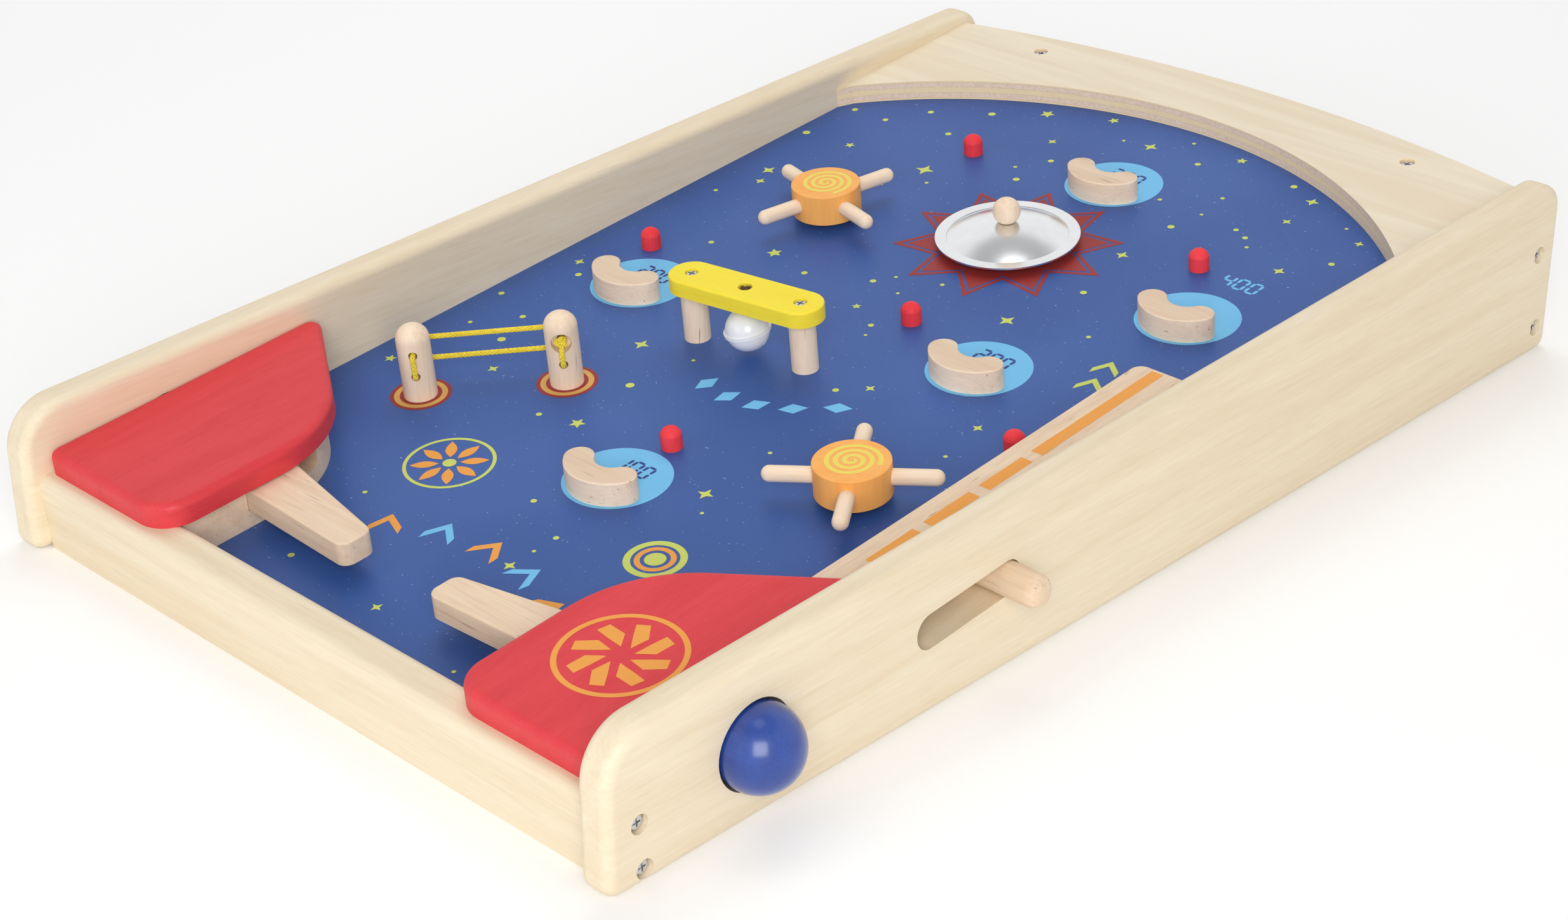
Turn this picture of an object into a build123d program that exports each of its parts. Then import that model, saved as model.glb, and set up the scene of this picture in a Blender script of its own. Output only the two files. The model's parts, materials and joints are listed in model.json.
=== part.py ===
"""Wooden tabletop pinball game: a sloped playfield in a wooden case.

Millimetres, +Z up, +X to the player's right, +Y away from the player.
The origin is the middle of the box that holds the game, on the table.
Most pieces stand on the sloped playfield, so they are drawn in field
coordinates: u to the right, v up the slope from the front of the panels,
h square to the playfield, with zero on its blue face.
"""

from build123d import *
from math import atan2, cos, degrees, hypot, pi, radians, sin, sqrt
import os

# Case
PANEL_LENGTH = 600.0
BODY_WIDTH = 366.0
PANEL_THICKNESS = 15.5
PANEL_FRONT_HEIGHT = 64.5
PANEL_REAR_HEIGHT = 84.5
PANEL_EDGE_RADIUS = 4.5
PANEL_FRONT_CORNER_RADIUS = 22.0
PANEL_REAR_CORNER_RADIUS = 13.0
PANEL_FOOT_RADIUS = 6.0
FIELD_SLOPE = 5.3
FIELD_FRONT_HEIGHT = 14.0
FIELD_THICKNESS = 5.0
RAIL_RECESS = 7.0
RAIL_THICKNESS = 18.5
RAIL_EDGE_RADIUS = 5.0
DECK_HEIGHT = 19.5
BACK_RAIL_INSET = 10.5
BACK_RAIL_THICKNESS = 18.0
OVERRUN = 2.0
FIT_CLEARANCE = 0.05
RUNNING_CLEARANCE = 0.08
SLIDING_CLEARANCE = 0.4

# Arch plate at the rear
PLATE_THICKNESS = 10.0
PLATE_OVERHANG = 8.7
PLATE_MIDDLE_WIDTH = 40.0
ARCH_RADIUS = 221.8
ARCH_NOSE_WIDTH = 4.0
ARCH_NOSE_LENGTH = 8.0

# Red covers, one over each flipper
COVER_WIDTH = 80.5
COVER_SETBACK = 6.5
COVER_STRAIGHT = 90.5
COVER_LENGTH = 144.0
COVER_THICKNESS = 10.5
COVER_FRONT_RADIUS = 16.0
COVER_SWEEP_RADIUS = 60.0
COVER_CORNER_RADIUS = 5.0
COVER_EDGE_RADIUS = 3.5

# Flippers, their blocks and their buttons
BLOCK_INSET = 5.0
FLIPPER_THICKNESS = 10.5
FLIPPER_HEAD_GAP = 0.8
FLIPPER_FLOOR_GAP = 0.6
FLIPPER_TIP_GAP = 51.0
FLIPPER_TIP_WIDTH = 15.6
FLIPPER_TIP_RADIUS = 5.0
FLIPPER_TIP_DROP = 16.0
FLIPPER_HEEL_DROP = 28.0
FLIPPER_EDGE_RADIUS = 1.0
FLIPPER_PIVOT_INSET = 59.5
FLIPPER_LEVER = 13.0
FLIPPER_HEEL_OFFSET = 1.0
FLIPPER_BOSS_RADIUS = 7.5
FLIPPER_PIN_DIAMETER = 5.0
FLIPPER_PIN_FOOT = 5.0
FLIPPER_PIN_HEAD = 4.0
POCKET_SIDE_GAP = 5.5
POCKET_BACK_GAP = 5.0
BUTTON_V = 73.0
BUTTON_HEIGHT = 10.5
BUTTON_DIAMETER = 34.5
BUTTON_STANDOUT = 2.0
BUTTON_FLAT_DEPTH = 8.0
BUTTON_BORE_DEPTH = 12.0
BUTTON_HOLE_DIAMETER = 36.5
BUTTON_ROD_DIAMETER = 8.0
BUTTON_ROD_GAP = 0.45
BUTTON_SPRING_DIAMETER = 12.4
BUTTON_SPRING_WIRE = 1.2
BUTTON_SPRING_TURNS = 5
BUTTON_SPRING_POCKET = 9.5
SPRING_POCKET_CLEARANCE = 0.7
SPRING_END_GAP = 0.3

# Ball lane and plunger on the right
LANE_WIDTH = 22.5
LANE_WALL_THICKNESS = 8.7
LANE_WALL_SETBACK = 8.5
LANE_ROOF_THICKNESS = 4.0
LANE_ROOF_REAR_V = 350.5
LANE_ROOF_CORNER_RADIUS = 5.0
LANE_STOP_LENGTH = 12.0
SLOT_FRONT_V = 158.5
SLOT_LENGTH = 59.3
SLOT_HEIGHT = 15.2
SLOT_MIDDLE_HEIGHT = 7.3
HANDLE_DIAMETER = 14.0
HANDLE_END_RADIUS = 6.5
HANDLE_TENON_DIAMETER = 8.0
HANDLE_TENON_LENGTH = 12.0
HAMMER_LENGTH = 26.0
SPIGOT_DIAMETER = 6.6
SPIGOT_LENGTH = 8.0
PLUNGER_SPRING_DIAMETER = 9.6
PLUNGER_SPRING_WIRE = 1.2
PLUNGER_SPRING_TURNS = 14

# Kidney-shaped bumper blocks and red pegs
BUMPER_BEND_RADIUS = 15.6
BUMPER_WIDTH = 13.0
BUMPER_HEIGHT = 11.0
BUMPER_ARC = 110.0
BUMPER_EDGE_RADIUS = 0.8
BUMPER_PLACE_SHARES = {
    "rear_bumper": (0.008, 0.815),
    "left_bumper": (-0.676, 0.473),
    "middle_bumper": (0.379, 0.5295),
    "front_bumper": (0.012, 0.267),
    "right_bumper": (0.647, 0.676),
}
PEG_DIAMETER = 9.3
PEG_NECK = 6.6
PEG_CAP = 3.5
PEG_TENON_DIAMETER = 5.0
TENON_DEPTH = 4.0
PEG_PLACE_SHARES = {
    "rear_left_peg": (-0.451, 0.818),
    "left_peg": (-0.806, 0.545),
    "rear_right_peg": (0.506, 0.767),
    "middle_peg": (0.076, 0.5765),
    "front_peg": (0.0155, 0.344),
    "right_peg": (0.71, 0.484),
}

# Spinners
SPINNER_DIAMETER = 32.8
SPINNER_HEIGHT = 14.5
SPINNER_GAP = 4.0
SPINNER_EDGE_RADIUS = 0.6
SPINNER_PIN_DIAMETER = 5.0
SPINNER_PIN_DEPTH = 10.0
SPINNER_SHOULDER_DIAMETER = 10.0
SPINNER_SEAT_GAP = 0.3
SPOKE_DIAMETER = 7.0
SPOKE_REACH = 37.5
SPOKE_TENON = 6.5
SPOKE_COUNT = 4
SPINNER_PLACE_SHARES = {"front_spinner": (0.543, 0.3723), "rear_spinner": (-0.522, 0.664)}
SPINNER_TURNS = {"front_spinner": 34.5, "rear_spinner": -14.5}

# Gong: a metal dome under a wooden knob
GONG_PLACE_SHARE = (-0.006, 0.714)
GONG_DIAMETER = 67.4
GONG_RIM_WIDTH = 4.5
GONG_RIM_HEIGHT = 4.0
GONG_RISE = 7.5
GONG_SHEET = 0.8
GONG_POST_DIAMETER = 9.0
GONG_PIN_DIAMETER = 4.0
GONG_SEAT_GAP = 0.3
GONG_KNOB_DIAMETER = 13.0
GONG_KNOB_SEAT = 1.4
GONG_PIN_REACH = 5.0

# Bridge with the hanging bell
BRIDGE_PLACE_SHARE = (-0.1576, 0.4725)
BRIDGE_TURN = 8.7
BRIDGE_LEG_SPACING = 58.5
BRIDGE_LEG_DIAMETER = 12.0
BRIDGE_LEG_HEIGHT = 25.5
BRIDGE_TENON_DIAMETER = 7.0
BRIDGE_BAR_WIDTH = 21.0
BRIDGE_BAR_THICKNESS = 7.5
BRIDGE_BAR_EDGE_RADIUS = 1.0
BRIDGE_CORD_RECESS_DIAMETER = 6.4
BRIDGE_CORD_RECESS_DEPTH = 4.0
BRIDGE_SCREW_HEAD_DIAMETER = 6.0
BRIDGE_SCREW_SHANK_DIAMETER = 3.0
BRIDGE_SCREW_LENGTH = 16.0
BRIDGE_SCREW_SINK = 0.6
BELL_FLOOR_GAP = 2.3
BELL_SHEET = 0.8
BELL_RING_WIDTH = 0.8
BELL_RING_THICKNESS = 1.4
BELL_SLOT_WIDTH = 2.0
BELL_TILT = 12.0
BELL_HANG = 3.2
BELL_PELLET_DIAMETER = 5.0
BELL_PELLET_GAP = 0.1
BELL_CORD_DIAMETER = 1.6
BELL_CORD_GAP = 0.3
BELL_KNOT_DIAMETER = 4.6

# Elastic band between two posts
LEFT_POST_SHARE = (-0.706, 0.2832)
RIGHT_POST_SHARE = (-0.44, 0.3607)
POST_DIAMETER = 15.0
POST_HEIGHT = 35.0
POST_DOME_RADIUS = 7.0
POST_TENON_DIAMETER = 8.0
BAND_DIAMETER = 2.5
BAND_HOLE_DIAMETER = 4.0
BAND_UPPER_HEIGHT = 23.2
BAND_LOWER_HEIGHT = 12.8
BAND_SEAT_GAP = 0.35
BAND_BEND_RADIUS = 2.5
BAND_KNOT_DIAMETER = 6.6
BAND_RECESS_DIAMETER = 9.2
BAND_RECESS_DEPTH = 5.2

# Screws of the case
PANEL_SCREW_HEAD_DIAMETER = 7.0
PANEL_SCREW_SHANK_DIAMETER = 4.0
PANEL_SCREW_LENGTH = 40.0
PANEL_SCREW_SINK = 4.0
PANEL_SCREW_BORE_DIAMETER = 8.0
FRONT_SCREW_SETBACK = 9.3
FRONT_SCREW_HEIGHTS = (10.5, -9.0)
REAR_SCREW_SETBACK = 6.0
REAR_SCREW_HEIGHTS = (-17.0, -55.0)
PLATE_SCREW_INSET = 56.5
PLATE_SCREW_HEAD_DIAMETER = 7.0
PLATE_SCREW_SHANK_DIAMETER = 3.5
PLATE_SCREW_LENGTH = 32.0
PLATE_SCREW_SINK = 1.0
SCREW_HEAD_THICKNESS = 2.4
SCREW_CROSS_LENGTH = 3.6
SCREW_CROSS_WIDTH = 0.8
SCREW_CROSS_DEPTH = 1.2
SCREW_POINT_SHARE = 0.25

# Places that follow from the sizes above
INNER_HALF = BODY_WIDTH / 2 - PANEL_THICKNESS
OUTER_HALF = BODY_WIDTH / 2
SLOPE = radians(FIELD_SLOPE)
FRONT_Y = -(PANEL_LENGTH + PLATE_OVERHANG) / 2
REAR_Y = FRONT_Y + PANEL_LENGTH
RAIL_BACK_V = RAIL_RECESS + RAIL_THICKNESS
BACK_RAIL_REAR_V = PANEL_LENGTH / cos(SLOPE) - BACK_RAIL_INSET
BACK_RAIL_FRONT_V = BACK_RAIL_REAR_V - BACK_RAIL_THICKNESS
PLATE_APEX_V = (PANEL_LENGTH + PLATE_OVERHANG) / cos(SLOPE)
ARCH_MIDDLE_V = PLATE_APEX_V - PLATE_MIDDLE_WIDTH - ARCH_RADIUS
COVER_INNER_U = INNER_HALF - COVER_WIDTH
COVER_FRONT_V = RAIL_RECESS + COVER_SETBACK
COVER_BEND_V = COVER_FRONT_V + COVER_STRAIGHT
COVER_REAR_V = COVER_FRONT_V + COVER_LENGTH
BLOCK_INNER_U = COVER_INNER_U + BLOCK_INSET
FLIPPER_TOP = DECK_HEIGHT - FLIPPER_HEAD_GAP
FLIPPER_BASE = FLIPPER_TOP - FLIPPER_THICKNESS
PIVOT_U = INNER_HALF - FLIPPER_PIVOT_INSET
PIVOT_V = BUTTON_V + FLIPPER_LEVER
HEEL_U = PIVOT_U + FLIPPER_HEEL_OFFSET
POCKET_OUTER_U = PIVOT_U + FLIPPER_BOSS_RADIUS + POCKET_SIDE_GAP
POCKET_REAR_V = PIVOT_V + FLIPPER_BOSS_RADIUS + POCKET_BACK_GAP
BUTTON_U = OUTER_HALF + BUTTON_STANDOUT
BUTTON_BACK_U = BUTTON_U - BUTTON_FLAT_DEPTH
OUTER_REACH = BUTTON_U + BUTTON_DIAMETER / 2
ROD_TIP_U = HEEL_U + BUTTON_ROD_GAP + BUTTON_ROD_DIAMETER / 2
SPRING_SEAT_U = INNER_HALF - BUTTON_SPRING_POCKET
LANE_FRONT_V = POCKET_REAR_V
LANE_INNER_U = INNER_HALF - LANE_WIDTH
LANE_WALL_U = LANE_INNER_U - LANE_WALL_THICKNESS
LANE_MIDDLE_U = (LANE_INNER_U + INNER_HALF) / 2
LANE_CEILING = DECK_HEIGHT - LANE_ROOF_THICKNESS
LANE_STOP_V = LANE_FRONT_V + LANE_STOP_LENGTH
SLOT_REAR_V = SLOT_FRONT_V + SLOT_LENGTH
HANDLE_V = SLOT_REAR_V - SLOT_HEIGHT / 2
HAMMER_FRONT_V = HANDLE_V - HAMMER_LENGTH / 2
SPINNER_TOP = SPINNER_GAP + SPINNER_HEIGHT
BRIDGE_TOP = BRIDGE_LEG_HEIGHT + BRIDGE_BAR_THICKNESS
BELL_DIAMETER = BRIDGE_LEG_HEIGHT - BELL_HANG - BELL_FLOOR_GAP
BELL_MIDDLE = BELL_FLOOR_GAP + BELL_DIAMETER / 2
BELL_PIVOT = BRIDGE_LEG_HEIGHT - BELL_CORD_GAP - BELL_CORD_DIAMETER / 2
BAND_STANDOFF = POST_DIAMETER / 2 + BAND_SEAT_GAP + BAND_DIAMETER / 2
GONG_APEX = GONG_RIM_HEIGHT + GONG_RISE
FIELD = Plane(
    origin=(0, FRONT_Y, FIELD_FRONT_HEIGHT),
    x_dir=(1, 0, 0),
    z_dir=(0, -sin(SLOPE), cos(SLOPE)),
)

os.makedirs("parts", exist_ok=True)


def save(name, shape):
    """Writes one finished piece under its own name."""
    export_step(shape, f"parts/{name}.step")


def on_field(shape):
    """Lifts a shape from field coordinates onto the sloped playfield."""
    return FIELD.location * shape


def above_table(shape):
    """Cuts a shape off flush with the table."""
    room = Box(2 * BODY_WIDTH, 2 * PANEL_LENGTH, 2 * PANEL_REAR_HEIGHT)
    return shape & (Pos(0, 0, PANEL_REAR_HEIGHT) * room)


def place(share):
    """Field place of a share of the inner half width and the panel length."""
    return share[0] * INNER_HALF, share[1] * PANEL_LENGTH


def slab(u_from, u_to, v_from, v_to, h_from, h_to):
    """Box between three pairs of field coordinates."""
    middle = Pos((u_from + u_to) / 2, (v_from + v_to) / 2, (h_from + h_to) / 2)
    return middle * Box(u_to - u_from, v_to - v_from, h_to - h_from)


def upright(diameter, u, v, h_from, h_to):
    """Round bar square to the playfield."""
    return Pos(u, v, (h_from + h_to) / 2) * Cylinder(diameter / 2, h_to - h_from)


def across(diameter, v, h, u_from, u_to):
    """Round bar that runs from side to side."""
    return Pos((u_from + u_to) / 2, v, h) * Rot(0, 90, 0) * Cylinder(diameter / 2, u_to - u_from)


def uphill(diameter, u, h, v_from, v_to):
    """Round bar that runs up the slope."""
    return Pos(u, (v_from + v_to) / 2, h) * Rot(90, 0, 0) * Cylinder(diameter / 2, v_to - v_from)


def rounded_outline(points, corner_radii):
    """Face of a polygon whose corners have their own radii, zero for sharp."""
    face = make_face(Polyline(*points, close=True)).face()
    for point, radius in zip(points, corner_radii):
        if radius:
            corner = face.vertices().sort_by_distance(point)[0]
            face = face.fillet_2d(radius, [corner])
    return face


def raised(face, h_from, h_to):
    """Solid of a flat outline between two heights over the playfield."""
    return Pos(0, 0, h_from) * extrude(face, h_to - h_from)


def rounded_top(solid, radius):
    """Rounds every edge of the upper face."""
    return fillet(solid.faces().sort_by(Axis.Z)[-1].edges(), radius)


def other_side(shape):
    """Mirror image on the left of the game."""
    return mirror(shape, about=Plane.YZ)


def screw(head_diameter, shank_diameter, length):
    """Cross-head wood screw, head upward, with the underside of its head at zero."""
    head = Pos(0, 0, SCREW_HEAD_THICKNESS / 2) * Cylinder(head_diameter / 2, SCREW_HEAD_THICKNESS)
    head = fillet(head.edges().sort_by(Axis.Z)[-1], SCREW_HEAD_THICKNESS / 2)
    cut_height = SCREW_HEAD_THICKNESS - SCREW_CROSS_DEPTH / 2
    for turn in (0, 90):
        blade = Box(SCREW_CROSS_LENGTH, SCREW_CROSS_WIDTH, SCREW_CROSS_DEPTH)
        head -= Pos(0, 0, cut_height) * Rot(0, 0, turn) * blade
    radius = shank_diameter / 2
    body = length - shank_diameter
    shank = Pos(0, 0, -body / 2) * Cylinder(radius, body)
    point = Rot(180, 0, 0) * Cone(radius, SCREW_POINT_SHARE * radius, shank_diameter)
    return head + shank + Pos(0, 0, -body - radius) * point


def screw_hole(shank_diameter, length):
    """Pilot hole for a screw whose head rests at zero."""
    radius = shank_diameter / 2 + FIT_CLEARANCE
    return Pos(0, 0, (OVERRUN - length) / 2) * Cylinder(radius, length + OVERRUN)


def coil(name, mean_diameter, wire, length, turns):
    """Open spring along +Z from zero, one unbroken wire on quarter-turn biarcs."""
    radius = mean_diameter / 2
    pitch = (length - wire) / turns
    steps = 4 * turns
    knots = []
    for step in range(steps + 1):
        angle = 2 * pi * step / 4
        point = Vector(radius * cos(angle), radius * sin(angle), wire / 2 + pitch * step / 4)
        heading = Vector(-2 * pi * radius * sin(angle), 2 * pi * radius * cos(angle), pitch)
        knots.append((point, heading.normalized()))
    arcs = []
    for start, end in zip(knots, knots[1:]):
        arcs += biarc(*start, *end)
    path = Wire(arcs)
    tube = sweep(Plane(path @ 0, z_dir=path % 0) * Circle(wire / 2), path)
    print(f"{name} least gap to itself {least_gap(path, wire, steps):.2f} mm")
    return tube


def biarc(start, start_heading, end, end_heading):
    """Two arcs that leave one point and reach another along given headings."""
    chord = end - start
    bend = 2 * (1 - start_heading.dot(end_heading))
    lean = 2 * chord.dot(start_heading + end_heading)
    reach = (sqrt(lean**2 + 4 * bend * chord.dot(chord)) - lean) / (2 * bend)
    first = start + start_heading * reach
    second = end - end_heading * reach
    joint = (first + second) / 2
    return [
        TangentArc(start, joint, tangent=start_heading).edge(),
        TangentArc(joint, end, tangent=second - first).edge(),
    ]


def least_gap(path, wire, steps):
    """Smallest space between neighbouring turns of a wire, measured on points."""
    points = [path @ (step / (2 * steps)) for step in range(2 * steps + 1)]
    half_turn = 4
    spaces = [
        (near - far).length - wire
        for place, near in enumerate(points)
        for far in points[place + half_turn :]
    ]
    return min(spaces)


def right_screw_places():
    """Screw heads in the right panel, as field v and h."""
    front = [(RAIL_RECESS + FRONT_SCREW_SETBACK, height) for height in FRONT_SCREW_HEIGHTS]
    rear = [(BACK_RAIL_REAR_V - REAR_SCREW_SETBACK, height) for height in REAR_SCREW_HEIGHTS]
    return front + rear


def panel_screw_spot(v, h):
    """Frame of a screw head that is sunk into the right panel."""
    return Pos(OUTER_HALF - PANEL_SCREW_SINK, v, h) * Rot(0, 90, 0)


def plate_screw_places():
    """Screw heads in the arch plate, as field u and v."""
    v = BACK_RAIL_REAR_V - REAR_SCREW_SETBACK
    u = INNER_HALF - PLATE_SCREW_INSET
    return [(-u, v), (u, v)]


def tenons():
    """Every foot that stands in the playfield: diameter, u and v."""
    feet = [(PEG_TENON_DIAMETER, *place(share)) for share in PEG_PLACE_SHARES.values()]
    feet += [(SPINNER_PIN_DIAMETER, *place(share)) for share in SPINNER_PLACE_SHARES.values()]
    feet += [(POST_TENON_DIAMETER, *place(share)) for share in (LEFT_POST_SHARE, RIGHT_POST_SHARE)]
    feet += [(BRIDGE_TENON_DIAMETER, *spot) for spot in bridge_leg_places()]
    feet.append((GONG_PIN_DIAMETER, *place(GONG_PLACE_SHARE)))
    return feet


def bridge_leg_places():
    """Middles of the two bridge legs."""
    u, v = place(BRIDGE_PLACE_SHARE)
    reach = BRIDGE_LEG_SPACING / 2
    turn = radians(BRIDGE_TURN)
    return [(u + side * reach * cos(turn), v + side * reach * sin(turn)) for side in (-1, 1)]


def plain_panel():
    """Right side panel before its slot and its button hole are cut."""
    outline = rounded_outline(
        [(FRONT_Y, 0), (REAR_Y, 0), (REAR_Y, PANEL_REAR_HEIGHT), (FRONT_Y, PANEL_FRONT_HEIGHT)],
        [PANEL_FOOT_RADIUS, PANEL_FOOT_RADIUS, PANEL_REAR_CORNER_RADIUS, PANEL_FRONT_CORNER_RADIUS],
    )
    panel = extrude(Plane.YZ.offset(INNER_HALF) * outline, PANEL_THICKNESS)
    rims = panel.faces().sort_by(Axis.X)
    panel = fillet(rims[0].edges() + rims[-1].edges(), PANEL_EDGE_RADIUS)
    cut_from = INNER_HALF - OVERRUN
    cut_to = OUTER_HALF + OVERRUN
    panel -= on_field(across(BUTTON_HOLE_DIAMETER, BUTTON_V, BUTTON_HEIGHT, cut_from, cut_to))
    for v, h in right_screw_places():
        shank = PANEL_SCREW_SHANK_DIAMETER + 2 * FIT_CLEARANCE
        panel -= on_field(across(shank, v, h, cut_from, cut_to))
        panel -= on_field(across(PANEL_SCREW_BORE_DIAMETER, v, h, OUTER_HALF - PANEL_SCREW_SINK, cut_to))
    return panel


def slotted_panel():
    """Right side panel with the slot that the plunger handle slides in."""
    flat = SLOT_LENGTH - SLOT_HEIGHT
    slot = Pos(0, (SLOT_FRONT_V + SLOT_REAR_V) / 2, SLOT_MIDDLE_HEIGHT) * (
        Plane.YZ.offset(INNER_HALF - OVERRUN) * SlotCenterToCenter(flat, SLOT_HEIGHT)
    )
    return plain_panel() - on_field(extrude(slot, PANEL_THICKNESS + 2 * OVERRUN))


def rail_screw_holes():
    """Pilot holes of the side panel screws, for both ends of both rails."""
    holes = []
    for v, h in right_screw_places():
        hole = panel_screw_spot(v, h) * screw_hole(PANEL_SCREW_SHANK_DIAMETER, PANEL_SCREW_LENGTH)
        holes += [hole, other_side(hole)]
    return holes


def front_rail():
    """Rail across the front, square to the playfield and flush with the table."""
    low = -FIELD_FRONT_HEIGHT - RAIL_BACK_V
    rail = slab(-INNER_HALF, INNER_HALF, RAIL_RECESS, RAIL_BACK_V, low, DECK_HEIGHT)
    top_edges = rail.faces().sort_by(Axis.Z)[-1].edges().filter_by(Axis.X)
    rail = fillet(top_edges, RAIL_EDGE_RADIUS)
    for hole in rail_screw_holes():
        rail -= hole
    return above_table(on_field(rail))


def back_rail():
    """Rail across the rear, under the playfield."""
    low = -FIELD_FRONT_HEIGHT - BACK_RAIL_REAR_V
    rail = slab(-INNER_HALF, INNER_HALF, BACK_RAIL_FRONT_V, BACK_RAIL_REAR_V, low, -FIELD_THICKNESS)
    for hole in rail_screw_holes() + plate_screw_holes():
        rail -= hole
    return above_table(on_field(rail))


def plate_screw_holes():
    """Pilot holes of the arch plate screws."""
    rest = PLATE_THICKNESS - PLATE_SCREW_SINK - SCREW_HEAD_THICKNESS
    hole = screw_hole(PLATE_SCREW_SHANK_DIAMETER, PLATE_SCREW_LENGTH)
    return [Pos(u, v, rest) * hole for u, v in plate_screw_places()]


def playfield():
    """Sloped board with a hole for every foot that stands in it."""
    board = slab(-INNER_HALF, INNER_HALF, RAIL_BACK_V, BACK_RAIL_REAR_V, -FIELD_THICKNESS, 0)
    for diameter, u, v in tenons():
        board -= upright(diameter + 2 * FIT_CLEARANCE, u, v, -TENON_DEPTH, OVERRUN)
    for hole in plate_screw_holes():
        board -= hole
    return on_field(board)


def arch_plate():
    """Plate with a bowed rear edge and the round arch that turns the ball."""
    nose_u = INNER_HALF - ARCH_NOSE_WIDTH
    nose_v = ARCH_MIDDLE_V + sqrt(ARCH_RADIUS**2 - nose_u**2)
    tip_v = nose_v - ARCH_NOSE_LENGTH
    rear = ThreePointArc(
        (-INNER_HALF, BACK_RAIL_REAR_V), (0, PLATE_APEX_V), (INNER_HALF, BACK_RAIL_REAR_V)
    )
    right = Polyline((INNER_HALF, BACK_RAIL_REAR_V), (INNER_HALF, tip_v), (nose_u, nose_v))
    arch = ThreePointArc((nose_u, nose_v), (0, ARCH_MIDDLE_V + ARCH_RADIUS), (-nose_u, nose_v))
    left = Polyline((-nose_u, nose_v), (-INNER_HALF, tip_v), (-INNER_HALF, BACK_RAIL_REAR_V))
    plate = raised(make_face([rear, right, arch, left]), 0, PLATE_THICKNESS)
    for hole in plate_screw_holes():
        plate -= hole
    for u, v in plate_screw_places():
        rest = PLATE_THICKNESS - PLATE_SCREW_SINK - SCREW_HEAD_THICKNESS
        bore = PLATE_SCREW_HEAD_DIAMETER + 2 * FIT_CLEARANCE
        plate -= upright(bore, u, v, rest, PLATE_THICKNESS + OVERRUN)
    return on_field(plate)


def cover():
    """Red board over the right flipper, with a swept inner edge."""
    points = [
        (INNER_HALF, COVER_FRONT_V),
        (COVER_INNER_U, COVER_FRONT_V),
        (COVER_INNER_U, COVER_BEND_V),
        (INNER_HALF, COVER_REAR_V),
    ]
    radii = [COVER_CORNER_RADIUS, COVER_FRONT_RADIUS, COVER_SWEEP_RADIUS, COVER_CORNER_RADIUS]
    board = raised(rounded_outline(points, radii), DECK_HEIGHT, DECK_HEIGHT + COVER_THICKNESS)
    board = rounded_top(board, COVER_EDGE_RADIUS)
    bore = FLIPPER_PIN_DIAMETER + 2 * FIT_CLEARANCE
    top = DECK_HEIGHT + FLIPPER_PIN_HEAD
    return on_field(board - upright(bore, PIVOT_U, PIVOT_V, DECK_HEIGHT - OVERRUN, top))


def flipper_block():
    """Block under the right cover: flipper pocket, rod guide and spring seat."""
    sweep_u = INNER_HALF - COVER_INNER_U
    sweep_v = COVER_REAR_V - COVER_BEND_V
    rise = sweep_v / sweep_u
    drop = BLOCK_INSET * hypot(sweep_u, sweep_v) / sweep_u
    bend_v = COVER_BEND_V + rise * BLOCK_INSET - drop
    wall_v = bend_v + rise * (LANE_WALL_U - BLOCK_INNER_U)
    points = [
        (INNER_HALF, RAIL_BACK_V),
        (BLOCK_INNER_U, RAIL_BACK_V),
        (BLOCK_INNER_U, bend_v),
        (LANE_WALL_U, wall_v),
        (LANE_WALL_U, LANE_FRONT_V),
        (INNER_HALF, LANE_FRONT_V),
    ]
    outline = rounded_outline(points, [0, 0, COVER_SWEEP_RADIUS - BLOCK_INSET, 0, 0, 0])
    block = raised(outline, 0, DECK_HEIGHT)
    floor = FLIPPER_BASE - FLIPPER_FLOOR_GAP
    front = PIVOT_V - FLIPPER_HEEL_DROP - FLIPPER_HEEL_OFFSET
    block -= slab(COVER_INNER_U, POCKET_OUTER_U, front, POCKET_REAR_V, floor, DECK_HEIGHT + OVERRUN)
    pin_bore = FLIPPER_PIN_DIAMETER + 2 * FIT_CLEARANCE
    block -= upright(pin_bore, PIVOT_U, PIVOT_V, floor - FLIPPER_PIN_FOOT, floor + OVERRUN)
    guide = BUTTON_ROD_DIAMETER + 2 * RUNNING_CLEARANCE
    block -= across(guide, BUTTON_V, BUTTON_HEIGHT, HEEL_U - FLIPPER_LEVER, INNER_HALF)
    seat = BUTTON_SPRING_DIAMETER + BUTTON_SPRING_WIRE + 2 * SPRING_POCKET_CLEARANCE
    block -= across(seat, BUTTON_V, BUTTON_HEIGHT, SPRING_SEAT_U, INNER_HALF + OVERRUN)
    return on_field(block)


def flipper():
    """Right flipper at rest: a tapered bat with a heel that its button pushes."""
    tip_u = FLIPPER_TIP_GAP / 2
    tip_rear_v = PIVOT_V - FLIPPER_TIP_DROP
    points = [
        (tip_u, tip_rear_v - FLIPPER_TIP_WIDTH),
        (HEEL_U, PIVOT_V - FLIPPER_HEEL_DROP),
        (HEEL_U, PIVOT_V),
        (tip_u, tip_rear_v),
    ]
    bat = rounded_outline(points, [FLIPPER_TIP_RADIUS, 0, 0, FLIPPER_TIP_RADIUS])
    boss = upright(2 * FLIPPER_BOSS_RADIUS, PIVOT_U, PIVOT_V, FLIPPER_BASE, FLIPPER_TOP)
    body = rounded_top(raised(bat, FLIPPER_BASE, FLIPPER_TOP), FLIPPER_EDGE_RADIUS)
    body += rounded_top(boss, FLIPPER_EDGE_RADIUS)
    bore = FLIPPER_PIN_DIAMETER + 2 * RUNNING_CLEARANCE
    return on_field(body - upright(bore, PIVOT_U, PIVOT_V, FLIPPER_BASE - OVERRUN, DECK_HEIGHT))


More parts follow.
